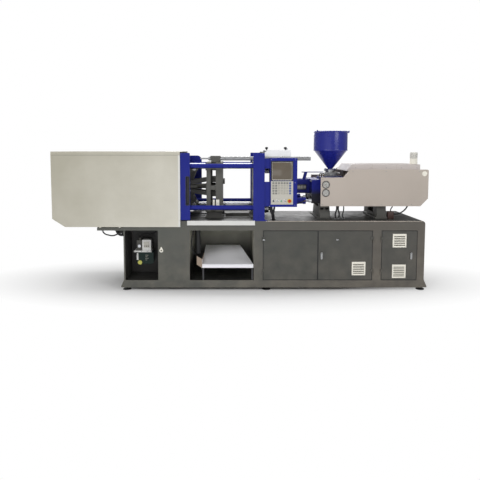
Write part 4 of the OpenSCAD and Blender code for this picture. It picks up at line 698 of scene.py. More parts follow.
def fixings(name: str, kind: Fixing, places: Sequence[Point], axis: Axis, radius: float,
            finish: Finish, body: str = "root") -> Piece:
    """Fasteners of one kind, modelled once and copied to their places.

    Args:
        name: The name of the joined piece.
        kind: Which fastener.
        places: Where each head meets its surface, in millimetres.
        axis: The way the heads point.
        radius: Radius of a head in millimetres.
        finish: Their finish.
        body: The body they ride on.

    Returns:
        All of them as one piece.
    """
    first = kind.head(name, STILL, axis, radius)
    made = []
    for place in places:
        mesh = first.data.copy()
        mesh.transform(shift(place))
        made.append(linked(name, mesh))
    bpy.data.objects.remove(first)
    return finished(joined(name, made), finish, body)


def shift(place: Point) -> Matrix:
    """The move to a place in millimetres."""
    return Matrix.Translation([c * MM for c in place])


def mirrored(places: Sequence[Point]) -> list[Point]:
    """The same places on the machine's other side."""
    return [(x, -y, z) for x, y, z in places]


# The carried-over solids


@dataclass(frozen=True)
class Coat:
    """The finish and the width of the edge rounding in millimetres of solids, named in a row."""

    finish: Finish
    edge: float
    nodes: str


COATS = (
    Coat(BASE_GREY, 2.0, "base_frame"),
    Coat(DARK_STEEL, 1.0, "level_feet"),
    Coat(LINK_GREY, 1.5, "pump_unit"),
    Coat(PALE_COAT, 1.0, "electric_rack"),
    Coat(TRAY_WHITE, 1.2, "product_chute"),
    Coat(PALE_COAT, 2.0, "lubricator"),
    Coat(TANK_GREEN, 2.0, "lubricator_tank"),
    Coat(CAST_GREY, 5.0, "fixed_platen"),
    Coat(CAST_GREY, 4.0, "rear_platen"),
    Coat(CHROME, 2.0, "tie_bars"),
    Coat(GROUND_STEEL, 2.5, "tie_bar_nuts"),
    Coat(LINK_GREY, 2.0, "clamp_cylinder"),
    Coat(GUARD_BLUE, 1.6, "door_frame"),
    Coat(PALE_COAT, 1.0, "sill_strips"),
    Coat(COVER_BEIGE, 1.2, "clamp_side_covers clamp_roof"),
    Coat(GUARD_BLUE, 1.5, "control_box"),
    Coat(BLACK_PLASTIC, 1.2, "control_screen"),
    Coat(GREY_PLASTIC, 0.6, "control_keypad"),
    Coat(CHROME, 2.0, "injection_guides"),
    Coat(CAST_GREY, 3.0, "guide_supports"),
    Coat(GUARD_BLUE, 2.0, "carriage_cylinders"),
    Coat(GUARD_BLUE, 1.4, "front_door"),
    Coat(PANE, 0.8, "front_door_pane"),
    Coat(GUARD_BLUE, 1.4, "rear_door"),
    Coat(DARK_STEEL, 2.0, "crosshead"),
    Coat(CAST_GREY, 4.0, "moving_platen"),
    Coat(GROUND_STEEL, 0.8, "safety_bar"),
    Coat(GROUND_STEEL, 1.0, "ejector_plate"),
    Coat(LINK_GREY, 2.0, "rear_link_upper rear_link_lower front_link_upper front_link_lower"),
    Coat(DARK_STEEL, 1.5, "short_link_upper short_link_lower"),
    Coat(DARK_STEEL, 1.0, "safety_catch"),
    Coat(GUARD_PALE, 1.0, "purge_guard"),
    Coat(RED_PLASTIC, 1.0, "stop_button"),
    Coat(LEAF_GREY, 0.8, "cabinet_door_left cabinet_door_middle cabinet_door_right"),
    Coat(GROUND_STEEL, 1.5, "door_latch_middle door_latch_right"),
    # The housing's coat carries painted shadow on its lower part.
    Coat(HOUSING_SHADED_COAT, 2.0, "injection_housing"),
    Coat(TURNED_STEEL, 1.0, "barrel"),
    Coat(MICA, 0.6, "heater_bands"),
    Coat(GUARD_BLUE, 1.2, "barrel_cover"),
    Coat(LINK_GREY, 2.0, "injection_cylinders"),
    Coat(SIDE_BEIGE, 1.2, "injection_side_covers"),
    Coat(HOOD_BEIGE, 1.5, "injection_hood"),
    Coat(DARK_STEEL, 1.2, "pressure_gauges"),
    Coat(CHROME, 1.0, "carriage_rods"),
    Coat(GROUND_STEEL, 2.0, "hopper_base"),
    Coat(HOPPER_BLUE, 1.0, "hopper"),
    Coat(LAMP_CLEAR, 2.0, "signal_lamp"),
    Coat(CAST_GREY, 2.0, "thrust_plate"),
    Coat(TURNED_STEEL, 0.0, "screw"),
    Coat(HOPPER_BLUE, 1.0, "hopper_lid"),
    Coat(GROUND_STEEL, 0.8, "hopper_gate"),
)

BODY_OF = {node: body for body, nodes in frame["record"]["behaviour"]["bodies"].items() for node in nodes}
PIECES: dict[str, Piece] = {}


def refined(node: str, finish: Finish, edge: float) -> Piece:
    """A merged copy of a solid with rounded edges, which stands for it.

    Args:
        node: The solid's name.
        finish: Its finish.
        edge: Width of the rounding in millimetres.

    Returns:
        The new piece.
    """
    mesh = frame["nodes"][node].data.copy()
    piece = linked(node + "_finished", mesh)
    mesh.materials.clear()
    with editing(piece):
        bpy.ops.mesh.remove_doubles(threshold=MERGE)
        bpy.ops.mesh.dissolve_limited(angle_limit=math.radians(FLAT_ANGLE))
    soften(piece, edge)
    finished(piece, finish, BODY_OF[node])
    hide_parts(node)
    return piece


def dressed(node: str, finish: Finish) -> Piece:
    """The solid itself with a finish."""
    piece = frame["nodes"][node]
    piece.data.materials.clear()
    return smooth(tinted(piece, finish))


def repaint(node: str, finish: Finish, test: Callable[[Vector, Vector], bool], whole: bool = False) -> None:
    """Gives the faces of a carried-over solid that pass a test another finish.

    Args:
        node: The solid's name.
        finish: The finish of the chosen faces.
        test: Takes a place on a face in millimetres and the face's normal.
        whole: Whether every corner of the face must pass, and not its middle alone.
    """
    mesh = tinted(PIECES[node], finish).data
    number = len(mesh.materials) - 1
    for face in mesh.polygons:
        places = [mesh.vertices[i].co for i in face.vertices] if whole else [face.center]
        if all(test(place / MM, face.normal) for place in places):
            face.material_index = number


# The sub-assemblies


@dataclass(frozen=True)
class CabinetBase:
    """The welded base, its cabinet doors and what stands in it."""

    front_y: float = -550.0
    bed_z: float = 938.0
    chute_x: Flat = (-700.0, 160.0)
    recess_x: Flat = (-1566.0, -1124.0)
    bay_z: Flat = (135.0, 811.0)
    vents: tuple[Flat, ...] = ((1569.0, 295.0), (2111.0, 674.0), (2111.0, 258.0))
    vent_half: float = 92.5
    gap: float = 3.0
    seal: float = 6.0
    leaves: tuple[tuple[str, Flat], ...] = (
        ("left", (285.0, 1018.5)), ("middle", (1021.5, 1751.0)), ("right", (1873.0, 2349.0)))
    tabs: tuple[tuple[str, float, float], ...] = (("left", 296.0, 683.0), ("middle", 1280.0, 685.0))
    latches: tuple[tuple[str, float], ...] = (("middle", 1069.0), ("right", 2270.0))
    latch_z: float = 505.0
    eyelet: Flat = (-1080.0, 540.0)
    foot_x: tuple[float, ...] = (-1555.0, 332.0, 2420.0)
    foot_y: float = 500.0

    def inside(self, at: Vector, span: Flat) -> bool:
        """Whether a place lies behind the front within one bay."""
        return (span[0] - 6 < at.x < span[1] + 6 and self.front_y + 8 < at.y < 546
                and self.bay_z[0] - 8 < at.z < self.bay_z[1] + 3)

    def on_vent(self, at: Vector, _: Vector) -> bool:
        """Whether a place lies on one of the grilles."""
        half = self.vent_half
        return at.y < self.front_y + 16 and any(
            abs(at.x - x) < half and abs(at.z - z) < half for x, z in self.vents)

    def liners(self) -> None:
        """Repaints the bed and the insides of the open bays with painted shade: a darker grey on the bed top
        and in the left recess, and a chute liner that darkens towards the bottom.
        """
        # Painted shade inside the bays: the chute liner darkens downwards, and the left recess and bed top
        # take a darker grey.
        repaint("base_frame", CHUTE_LINER_SHADED, lambda at, n: self.inside(at, self.chute_x))
        repaint("base_frame", BED_SHADE_GREY, lambda at, n: self.inside(at, self.recess_x)
                or (n.z > 0.9 and at.z > self.bed_z - 2))

    def doors(self) -> None:
        """Cream grilles, small tabs and the latches' hubs on the leaves."""
        y = self.front_y
        for node in ("cabinet_door_middle", "cabinet_door_right"):
            repaint(node, CREAM_PLASTIC, self.on_vent, True)
        for leaf, x, z in self.tabs:
            body = "cabinet_door_" + leaf
            tab = box_piece(body + "_tab", (x - 13, y - 3, z - 5), (x + 13, y + 1, z + 6), 1.2)
            finished(tab, CHROME, body)
        for leaf, x in self.latches:
            node = "door_latch_" + leaf
            hub = [(x, y - 14, self.latch_z)]
            fixings(node + "_hub", Fixing.PAN, hub, Axis.MINUS_Y, 9, GROUND_STEEL, node)

    def seals(self) -> None:
        """A dark strip in a rubber finish round each leaf: painted shade of the narrow gap round the leaf."""
        z = (self.bay_z[0] + self.gap, self.bay_z[1] - self.gap)
        y = (self.front_y - 0.7, self.front_y + 0.6)
        for side, span in self.leaves:
            # Painted shade: the dark strip stands for the shadow in the gap round the leaf.
            strip = rim(f"{side}_leaf_seal", span, z, (0, -self.seal), (3, 3), y, 0.3)
            finished(strip, BLACK_RUBBER, "cabinet_door_" + side)

    def trim(self) -> None:
        """A pale steel strip along the bed's front edge as a painted highlight, the eyelet by the recess, and
        plugs.
        """
        y, top = self.front_y, self.bed_z
        # Painted highlight: a pale strip along the bed's front edge.
        strip = box_piece("bed_edge_highlight_strip", (318, y - 1.2, top - 7), (2409, y + 7, top + 1.2), 2.4, 3)
        finished(strip, EDGE_HIGHLIGHT_STEEL)
        x, z = self.eyelet
        rings = [(24, 0), (26, 3), (22, 6), (13, 6), (11, 3), (11, 0)]
        ring = turned("pipe_eyelet", rings, (x, y + 0.2, z), Axis.MINUS_Y)
        outline = [(x - 20, z + 12), (x + 20, z + 12), (x + 6, z + 46), (x - 6, z + 46)]
        tip = plate("eyelet_tip", [outline], (y - 3.5, y + 0.4))
        finished(joined("pipe_eyelet", [tip, ring]), CREAM_PLASTIC)
        places = [(x, y, z) for x in (-1045, -780) for z in (110, 860)]
        fixings("base_plugs", Fixing.PAN, places, Axis.MINUS_Y, 7, BASE_GREY)

    def feet(self) -> None:
        """Lock nuts on the levelling screws."""
        nuts = [(x, y, 52.0) for x in self.foot_x for y in (-self.foot_y, self.foot_y)]
        fixings("foot_lock_nuts", Fixing.HEX, nuts, Axis.Z, 21, DARK_STEEL)

    def rack(self) -> None:
        """Repaints the switchgear and the motor: dark switches, grey drive, blue motor."""
        repaint("electric_rack", BLACK_PLASTIC,
                lambda at, n: 430 < at.z < 690 and at.y < -152 and abs(at.z - 560) > 17)
        repaint("electric_rack", LINK_GREY, lambda at, n: at.z < 412 and at.y < -150)
        repaint("pump_unit", GUARD_BLUE, lambda at, n: at.x < 862)

    def chute(self) -> None:
        """Repaints the chute's legs and its side rail, and faces the rail."""
        repaint("product_chute", TAN_SHEET, lambda at, n: at.x < -530.6 and at.y > -533)
        repaint("product_chute", DARK_STEEL, lambda at, n: at.z < 296)
        outline = [(-606, 345), (-538, 300), (-536, 300), (-536, 420), (-606, 462)]
        finished(plate("chute_side_rail", [outline], (-534, -531), 0.6), TAN_SHEET)

    def build(self) -> None:
        """Makes and dresses everything of the base."""
        for step in (self.liners, self.doors, self.seals, self.trim, self.feet, self.rack, self.chute):
            step()


@dataclass(frozen=True)
class Lubricator:
    """The grease lubricator in the left recess."""

    front_y: float = -345.0
    tank_y: float = -347.6

    def build(self) -> None:
        """Repaints the pump end, and adds gauge, sights and cap."""
        y, tank = self.front_y, self.tank_y
        repaint("lubricator", CAST_GREY, lambda at, n: at.x < -1371.5 and at.z > 497.5)
        finished(box_piece("lubricator_panel", (-1352, y - 4, 540), (-1272, y + 1, 622), 3.0), GREY_PLASTIC)
        keys = [(-1336 + 24 * i, y - 4, 560) for i in range(3)]
        fixings("lubricator_keys", Fixing.PAN, keys, Axis.MINUS_Y, 7, BLACK_PLASTIC)
        rings = [(24, 0), (24, 10), (21, 13), (19, 13), (19, 10), (0, 10)]
        finished(turned("lubricator_gauge", rings, (-1412, -334, 560), Axis.MINUS_Y), CHROME)
        rings = [(30, 0), (30, 6), (26, 10), (14, 12), (0, 12)]
        finished(turned("oil_sight", rings, (-1405, tank + 0.1, 333), Axis.MINUS_Y), YELLOW_PLASTIC)
        marks = [((-1330, tank - 2.4, 365 + 22 * i), (-1302 + 16 * (i % 2), tank, 370 + 22 * i))
                 for i in range(4)]
        finished(boxes("level_marks", marks, 0.6), KEY_PLASTIC)
        rings = [(15, 0), (15, 60), (11, 66), (11, 96), (0, 96)]
        finished(turned("tank_neck", rings, (-1438, -352, 370), Axis.Z, 20), PALE_COAT)
        screws = [(x, y - 15, 487) for x in (-1470, -1380, -1300, -1256)]
        fixings("flange_screws", Fixing.SOCKET, screws, Axis.MINUS_Y, 5, GROUND_STEEL)


@dataclass(frozen=True)
class ClampCover:
    """The beige cover over the toggle."""

    left: float = -2523.0
    right: float = -820.0
    low: float = 861.0
    seam: float = 1816.0
    skin_y: float = 575.0
    screw: float = 6.5

    def build(self) -> None:
        """Adds the pale end hem, a dark strip along the roof's seam that is painted shade, and rows of screws
        on both sides.
        """
        for side, axis, word in SIDES:
            y = side * self.skin_y
            near, far = sorted((y + side * 0.8, y - side * 2))
            hem = box_piece("cover_hem_" + word, (self.right - 24, near, self.low + 1),
                            (self.right + 0.8, far, self.seam - 2), 0.7)
            finished(hem, PALE_COAT)
            near, far = sorted((y + side * 0.6, y - side * 2))
            # Painted shade: a dark strip along the seam under the roof.
            seam = box_piece("cover_seam_shade", (self.left + 2, near, self.seam - 1.5),
                             (self.right - 26, far, self.seam + 1.5), 0.3)
            finished(seam, CAST_GREY)
            places = [(x, y, self.seam + 24) for x in range(-2440, -860, 392)]
            places += [(self.left + 30, y, z) for z in (1120, 1450, 1770)]
            fixings("cover_screws_" + word, Fixing.PAN, places, axis, self.screw, COVER_BEIGE)
        end = [(self.left, y, z) for y in (-520, 520) for z in (1020, 1400, 1780)]
        fixings("cover_screws_end", Fixing.PAN, end, Axis.MINUS_X, self.screw, COVER_BEIGE)


@dataclass(frozen=True)
class Guards:
    """The sliding doors, their posts and the purge guard."""

    door_y: float = -562.0
    pocket: Flat = (-740.0, -703.0)
    pocket_z: Flat = (1156.0, 1528.0)
    window: Flat = (-1640.0, -850.0)
    window_z: Flat = (1160.0, 1786.0)
    post_y: float = -550.0
    sight: Flat = (410.0, 608.0)
    sight_z: Flat = (1594.0, 1746.0)
    sight_y: float = 215.6
    guard_top: float = 1883.6

    def doors(self) -> None:
        """Grip lining, window gasket and screws of the front door, grip and screws of the rear one."""
        y, x, z = self.door_y, self.pocket, self.pocket_z
        lining = rim("grip_lining", x, z, (9, 0), (12, 8), (y - 1.6, y + 0.6))
        finished(lining, BLACK_PLASTIC, "front_door")
        back = box_piece("grip_back", (x[0] + 0.4, y + 20, z[0] + 0.4), (x[1] - 0.4, y + 25.8, z[1] - 0.4))
        finished(back, BLACK_PLASTIC, "front_door")
        gasket = rim("window_gasket", self.window, self.window_z, (10, -5), (18, 12), (y - 3, y + 0.5), 1.0)
        finished(gasket, BLACK_RUBBER, "front_door")
        heads = [(x, y, z) for x in (-1670, -825) for z in (1000, 1130, 1815)]
        heads += [(x, y, 1815) for x in (-1440, -1240, -1040)]
        fixings("front_door_screws", Fixing.PAN, heads, Axis.MINUS_Y, 6, GROUND_STEEL, "front_door")
        rear = [(x, -y, z) for x in (-1570, -1100, -630) for z in (990, 1380, 1770)]
        fixings("rear_door_screws", Fixing.PAN, rear, Axis.Y, 6, GROUND_STEEL, "rear_door")
        grip = box_piece("rear_door_grip", (-660, -y - 0.6, 1180), (-640, -y + 12.4, 1500), 3.0)
        finished(grip, BLACK_PLASTIC, "rear_door")

    def posts(self) -> None:
        """Bolts of the guard posts."""
        heads = [(x, self.post_y, z) for x in (232, 276) for z in (1000, 1800)]
        fixings("post_screws", Fixing.SOCKET, heads, Axis.MINUS_Y, 7, GUARD_BLUE)
        fixings("rear_post_screws", Fixing.SOCKET, mirrored(heads), Axis.Y, 7, GUARD_BLUE)
        foot = [(320, y, 950) for y in (-530, -470, 470, 530)]
        fixings("post_foot_bolts", Fixing.HEX, foot, Axis.Z, 10, GROUND_STEEL)

    def purge(self) -> None:
        """Black knobs and the sight frames of the purge guard."""
        rings = [(9, 0), (9, 12), (20, 18), (22, 34), (14, 42), (0, 44)]
        knobs = rounds("guard_knobs", rings, [(x, -100, self.guard_top) for x in (356, 620)], Axis.Z, 24)
        finished(knobs, BLACK_PLASTIC, "purge_guard")
        frames = [rim("guard_sights", self.sight, self.sight_z, (0, -8), (12, 8), (y - 1.4, y + 1.4))
                  for y in (-self.sight_y, self.sight_y)]
        finished(joined("guard_sights", frames), BLACK_RUBBER, "purge_guard")

    def build(self) -> None:
        """Makes everything of the guarding."""
        for step in (self.doors, self.posts, self.purge):
            step()


@dataclass(frozen=True)
class ControlPanel:
    """Screen, keypad and switches of the operator's panel."""

    front_y: float = -550.0
    x: Flat = (385.3, 679.7)
    screen_z: Flat = (1478.3, 1737.7)
    border: float = 18.0
    key_top: float = 1471.7
    key_rows: int = 5
    key_columns: int = 7
    key_pitch: Flat = (37.0, 34.0)
    switch_x: tuple[float, ...] = (420.0, 472.0, 524.0, 576.0)
    stop_x: float = 633.0
    switch_z: float = 1207.0

    def screen(self) -> None:
        """The glass with its frame and a row of soft keys under it."""
        y = self.front_y
        x = (self.x[0] + self.border, self.x[1] - self.border)
        z = (self.screen_z[0] + self.border, self.screen_z[1] - self.border)
        low, high = (x[0] + 0.5, y - 0.6, z[0] + 0.5), (x[1] - 0.5, y + 0.9, z[1] - 0.5)
        finished(box_piece("screen_glass", low, high, 0.5), SCREEN_GLASS)
        finished(rim("screen_rim", x, z, (4, 0), (5, 3), (y - 3.6, y - 1.9)), GREY_PLASTIC)
        keys = [((left + 4, y - 4.4, 1481), (left + 30, y - 1.9, 1491))
                for left in (x[0] + 32 * i for i in range(8))]
        finished(boxes("soft_keys", keys, 1.0), KEY_PLASTIC)

    def keypad(self) -> None:
        """Key caps in groups of colour, with indicator lights above."""
        y, left, top = self.front_y, self.x[0] + self.border, self.key_top
        groups: dict[Finish, list] = {GREY_KEYS: [], KEY_PLASTIC: [], BLUE_KEYS: []}
        for i in range(self.key_columns):
            for j in range(self.key_rows):
                last = i == self.key_columns - 1
                finish = BLUE_KEYS if last else GREY_KEYS if j == 0 or i < 2 else KEY_PLASTIC
                x, z = left + self.key_pitch[0] * i, top - 40 - self.key_pitch[1] * j
                groups[finish].append(((x + 1, y - 5, z + 1), (x + 27, y - 2, z + 25)))
        for finish, keys in groups.items():
            finished(boxes("keys_" + finish.name.split()[0], keys, 1.4), finish)
        lights = [(left + 14 + self.key_pitch[0] * i, y - 1, top - 7) for i in range(self.key_columns)]
        fixings("indicator_lights", Fixing.PAN, lights, Axis.MINUS_Y, 3, LIGHT_GREEN)

    def switches(self) -> None:
        """A rotary switch, a key switch and two pushbuttons beside the stop button."""
        y, z = self.front_y - 1, self.switch_z
        places = [(x, y, z) for x in self.switch_x]
        rings = [(16, -1), (16, 3), (13, 5), (0, 5)]
        finished(rounds("switch_collars", rings, places, Axis.MINUS_Y, 28), CHROME)
        x = self.switch_x[0]
        knob = turned("rotary_knob", [(12, 5), (12, 12), (10, 18), (0, 18)], places[0], Axis.MINUS_Y, 24)
        bar = box_piece("rotary_bar", (x - 3.5, y - 26, z - 12), (x + 3.5, y - 12, z + 12), 1.5)
        finished(joined("rotary_knob", [knob, bar]), BLACK_PLASTIC)
        rings = [(10.5, 5), (10.5, 10), (9, 12), (0, 12.6)]
        for name, number, finish in (("start_button", 2, LIGHT_GREEN), ("reset_button", 3, GREY_KEYS),
                                     ("key_switch", 1, GROUND_STEEL)):
            finished(turned(name, rings, places[number], Axis.MINUS_Y, 24), finish)
        rings = [(20, 0), (29, 0), (30, 1), (30, 2.4), (20, 2.8)]
        finished(turned("stop_ring", rings, (self.stop_x, y, z), Axis.MINUS_Y), STOP_YELLOW)

    def case(self) -> None:
        """Screws and side vents of the case."""
        heads = [(x, self.front_y, z) for x, z in ((706, 1150), (706, 1452), (706, 1756), (389, 1756))]
        fixings("panel_screws", Fixing.PAN, heads, Axis.MINUS_Y, 5, GROUND_STEEL)
        slots = [((733.6, -500 + 22 * i, 1400), (735.4, -488 + 22 * i, 1480)) for i in range(6)]
        finished(boxes("panel_vents", slots, 0.5), BLACK_PLASTIC)

    def build(self) -> None:
        """Makes everything of the panel."""
        for step in (self.screen, self.keypad, self.switches, self.case):
            step()


@dataclass(frozen=True)
class Clamp:
    """Platens, tie bars and the toggle between them."""

    axis_z: float = 1370.0
    tie: float = 289.0
    nut_ends: Flat = (-1130.3, 370.3)
    nut_ring: float = 46.2
    top: float = 348.0
    eye_y: float = 120.0
    rear_pivot: Flat = (-665.0, 250.0)
    front_pivot: Flat = (-465.0, 100.0)
    knee: Flat = (-740.4, 58.0)

    def nuts(self) -> None:
        """Screws in the tie bar nuts."""
        turns = [math.radians(a) for a in range(0, 360, 60)]
        ring = [(self.nut_ring * math.cos(a), self.nut_ring * math.sin(a)) for a in turns]
        corners = [(y, self.axis_z + z) for y in (-self.tie, self.tie) for z in (-self.tie, self.tie)]
        left, right = self.nut_ends
        for x, axis, word in ((right, Axis.X, "right"), (left, Axis.MINUS_X, "left")):
            places = [(x, y + dy, z + dz) for y, z in corners for dy, dz in ring]
            fixings("nut_screws_" + word, Fixing.SOCKET, places, axis, 6.5, DARK_STEEL)

    def platens(self) -> None:
        """Connector blocks, foot bolts and lifting eyes of the platens."""
        blocks = [((a, -357, 1120), (b, -347.5, 1206)) for a, b in ((-396, -368), (-352, -306))]
        finished(boxes("platen_connectors", blocks, 2.5), CREAM_PLASTIC, "moving_platen")
        bolts = [(144, y, 966) for y in (-300, -220, 220, 300)]
        fixings("platen_foot_bolts", Fixing.HEX, bolts, Axis.Z, 13, GROUND_STEEL)
        shoe = [(x, y, 980.3) for x in (-495, -249) for y in (-235, 235)]
        fixings("shoe_screws", Fixing.SOCKET, shoe, Axis.Z, 8, GROUND_STEEL, "moving_platen")
        rows = (("fixed", 237.5, "root"), ("moving", -309, "moving_platen"), ("rear", -995, "root"))
        for word, x, body in rows:
            name = "lifting_eyes_" + word
            eyes = [self.eye(name, x, y) for y in (-self.eye_y, self.eye_y)]
            finished(joined(name, eyes), DARK_STEEL, body)
        catch = [(x, y, 1814) for x in (190, 288) for y in (-327, -251)]
        fixings("catch_housing_screws", Fixing.SOCKET, catch, Axis.Z, 7, GROUND_STEEL)

    def eye(self, name: str, x: float, y: float) -> Piece:
        """A lifting eye screwed into a platen's top."""
        top = self.axis_z + self.top
        stem = turned(name, [(17, 0), (17, 5), (9, 8), (8, 14), (0, 14)], (x, y, top - 0.3), Axis.Z, 20)
        bpy.ops.mesh.primitive_torus_add(
            major_radius=17 * MM, minor_radius=4.8 * MM, major_segments=24, minor_segments=10,
            location=(x * MM, y * MM, (top + 33) * MM), rotation=Axis.MINUS_Y.value)
        return joined(name, [stem, smooth(settle(bpy.context.active_object), ROUND_ANGLE)])

    def pins(self) -> None:
        """Keeper discs and grease nipples on the toggle's pins."""
        for side, axis, _ in SIDES:
            for half, word in HALVES:
                rows = (("rear", self.rear_pivot, 142.0, 27, "root"),
                        ("front", self.front_pivot, 188.0, 23, "moving_platen"),
                        ("knee", self.knee, 158.0, 26, "front_link_" + word))
                for pin, (x, z), y, radius, body in rows:
                    name = f"{pin}_pin_{word}_{'front' if side < 0 else 'back'}"
                    self.pin(name, (x, side * y, self.axis_z + half * z), radius, axis, body)

    def pin(self, name: str, at: Point, radius: float, axis: Axis, body: str) -> None:
        """One keeper disc with two screws and a nipple."""
        x, y, z = at
        rings = [(radius, -0.2), (radius, 4.5), (radius - 1.5, 6), (0, 6)]
        parts = [tinted(turned(name, rings, at, axis, 32), GROUND_STEEL)]
        out = y + math.copysign(6, y)
        heads = [(Fixing.SOCKET, 4.5, DARK_STEEL, dx) for dx in (-15, 15)]
        for kind, size, finish, dx in (*heads, (Fixing.NIPPLE, 3.4, BRASS, 0)):
            parts.append(tinted(kind.head(name, (x + dx, out, z), axis, size), finish))
        made = joined(name, parts)
        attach(made, body)

    def build(self) -> None:
        """Makes everything of the clamp."""
        for step in (self.nuts, self.platens, self.pins):
            step()


@dataclass(frozen=True)
class InjectionUnit:
    """Barrel, carriage, covers, gauges and lamp."""

    side_y: float = -430.0
    hood_y: float = -330.0
    gauge_x: float = 1138.0
    gauge_z: tuple[float, ...] = (1416.0, 1305.0)
    dial_r: float = 42.0
    axis_z: float = 1370.0
    band_x: tuple[float, ...] = (448.0, 570.0, 692.0, 814.0)
    cylinder_y: float = 275.0
    cylinder_z: float = 1186.0

    def gauges(self) -> None:
        """Dials with ticks, needles, centre caps and glasses."""
        r = self.dial_r
        for number, z in enumerate(self.gauge_z, 1):
            at = (self.gauge_x, self.side_y - 4.6, z)
            disc = turned("dial", [(r, -0.3), (r, 0.4), (0, 0.4)], at, Axis.MINUS_Y)
            parts = [tinted(disc, DIAL_WHITE)]
            hands = [(15 * k - 135, BLACK_PLASTIC, 0, (-0.7, -0.9, r - (9 if k % 3 else 13)),
                      (0.7, -0.3, r - 4)) for k in range(19)]
            hands.append((20 * number - 138, NEEDLE_RED, 0.3, (-1.1, -2.0, -10), (1.1, -1.2, r - 9)))
            for angle, finish, edge, low, high in hands:
                hand = box_piece("dial", low, high, edge)
                hand.data.transform(shift(at) @ Matrix.Rotation(math.radians(angle), 4, "Y"))
                parts.append(tinted(hand, finish))
            cap = turned("dial", [(4, 0.3), (4, 2.6), (2.5, 3.4), (0, 3.4)], at, Axis.MINUS_Y, 20)
            made = joined(f"gauge_dial_{number}", [*parts, tinted(cap, BLACK_PLASTIC)])
            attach(made, "carriage")
            rings = [(r, 2.6), (r, 3.2), (30, 3.9), (0, 4.3), (0, 3.5), (30, 3.1), (r - 0.1, 2.6)]
            finished(turned(f"gauge_glass_{number}", rings, at, Axis.MINUS_Y), GLAZING, "carriage")

    def screws(self, name: str, places: Sequence[Point], radius: float) -> None:
        """Screws of a cover at the front, and at the same places behind."""
        for side, axis, word in SIDES:
            spots = places if side < 0 else mirrored(places)
            fixings(name + word, Fixing.PAN, spots, axis, radius, GROUND_STEEL, "carriage")

    def covers(self) -> None:
        """Screws, the plain plug and the seams of the side covers and the hood."""
        rows = ((1148, (1092, 1500, 1900, 2300)), (1490, (1092,)), (1596, (1500, 1950, 2400)))
        heads = [(x, self.side_y, z) for z, row in rows for x in row]
        self.screws("side_cover_screws_", heads, 6)
        rings = [(34, -0.2), (34, 1.0), (33, 2.0), (28, 2.2), (27, 1.2), (0, 1.2)]
        plug = turned("cover_plug", rings, (2468, self.side_y, 1565), Axis.MINUS_Y)
        finished(plug, CREAM_PLASTIC, "carriage")
        self.screws("hood_screws_", [(x, self.hood_y, 1642) for x in range(1560, 2440, 210)], 5.5)
        y = self.hood_y - 0.8
        seams = boxes("hood_seams", [((x - 1.2, y, 1625), (x + 1.2, -y, 1688.8)) for x in (1790, 2120)], 0.4)
        finished(seams, SIDE_BEIGE, "carriage")

    def lamp(self) -> None:
        """Repaints the lamp's foot cream, and adds ribs to its lens."""
        repaint("signal_lamp", CREAM_PLASTIC, lambda at, n: at.z < 1764)
        places = [(2368, -280, 1776 + 12 * i) for i in range(5)]
        ribs = rounds("lamp_ribs", [(49, 0), (51, 1.5), (51, 3), (49, 4.5)], places, Axis.Z, 36)
        finished(ribs, LAMP_CLEAR, "carriage")

    def barrel(self) -> None:
        """Clamp screws and terminal caps of the heater bands, and the nozzle's flats."""
        parts = []
        z = self.axis_z
        for left in self.band_x:
            for x in (left + 12, left + 78):
                screw = turned("band", [(5, 0), (5, 26), (0, 26)], (x, -13, z - 66), Axis.Y, 12)
                lugs = [box_piece("band", (x - 7, y - 2, z - 76), (x + 7, y + 2, z - 58)) for y in (-8, 8)]
                parts += [tinted(part, GROUND_STEEL) for part in (screw, *lugs)]
            cap = box_piece("band", (left + 22, -12, z + 78.6), (left + 68, 12, z + 84), 1.6)
            parts.append(tinted(cap, CREAM_PLASTIC))
        made = joined("heater_band_clamps", parts)
        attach(made, "carriage")
        rings = [(27, 364), (29.5, 366), (29.5, 396), (27, 398)]
        finished(turned("nozzle_flats", rings, (0, 0, z), Axis.X, 6), TURNED_STEEL, "carriage")

    def sockets(self) -> None:
        """The plate with the heater sockets on the barrel cover."""
        back = tinted(box_piece("socket_plate", (786, -99.4, 1322), (926, -95.7, 1398), 1.2), DARK_STEEL)
        caps = [box_piece("socket_plate", (x, -103, 1340), (x + 36, -98, 1380), 1.4) for x in (796, 838, 880)]
        made = joined("socket_plate", [back] + [tinted(cap, KEY_PLASTIC) for cap in caps])
        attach(made, "carriage")

    def housing(self) -> None:
        """Flange bolts, cylinder heads' tie nuts and cooling fittings."""
        flange = [(969, y, z) for y in (-280, -205, 205, 280) for z in (1262, 1452)]
        block = [(x, y, 1507) for x in (1190, 1364) for y in (-150, 150)]
        base = [(x, y, 1538) for x in (1199, 1355) for y in (-64, 64)]
        nuts = [(1912.3, y + dy, self.axis_z + dz)
                for y in (-175, 175) for dy in (-54, 54) for dz in (-54, 54)]
        for name, kind, places, axis, radius, finish in (
                ("housing_bolts", Fixing.SOCKET, flange, Axis.MINUS_X, 9, GROUND_STEEL),
                ("feed_block_bolts", Fixing.SOCKET, block, Axis.Z, 8, GROUND_STEEL),
                ("hopper_base_bolts", Fixing.SOCKET, base, Axis.Z, 7, DARK_STEEL),
                ("cylinder_tie_nuts", Fixing.HEX, nuts, Axis.X, 13, DARK_STEEL)):
            fixings(name, kind, places, axis, radius, finish, "carriage")
        elbows = []
        rings = [(9, 0), (9, 16), (12, 17), (12, 28), (8, 30), (0, 30)]
        steps = ((0, -120, 1534), (-2, -126, 1552), (-26, -150, 1552), (-44, -190, 1520),
                 (-40, -236, 1470), (-38, -250, 1440))
        for x in (1132, 1166):
            elbows.append(tinted(turned("elbows", rings, (x, -120, 1506.5), Axis.Z, 6), BRASS))
            elbows.append(tinted(wire("elbows", [(x + dx, y, z) for dx, y, z in steps], 7), BLACK_RUBBER))
        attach(joined("cooling_hoses", elbows), "carriage")

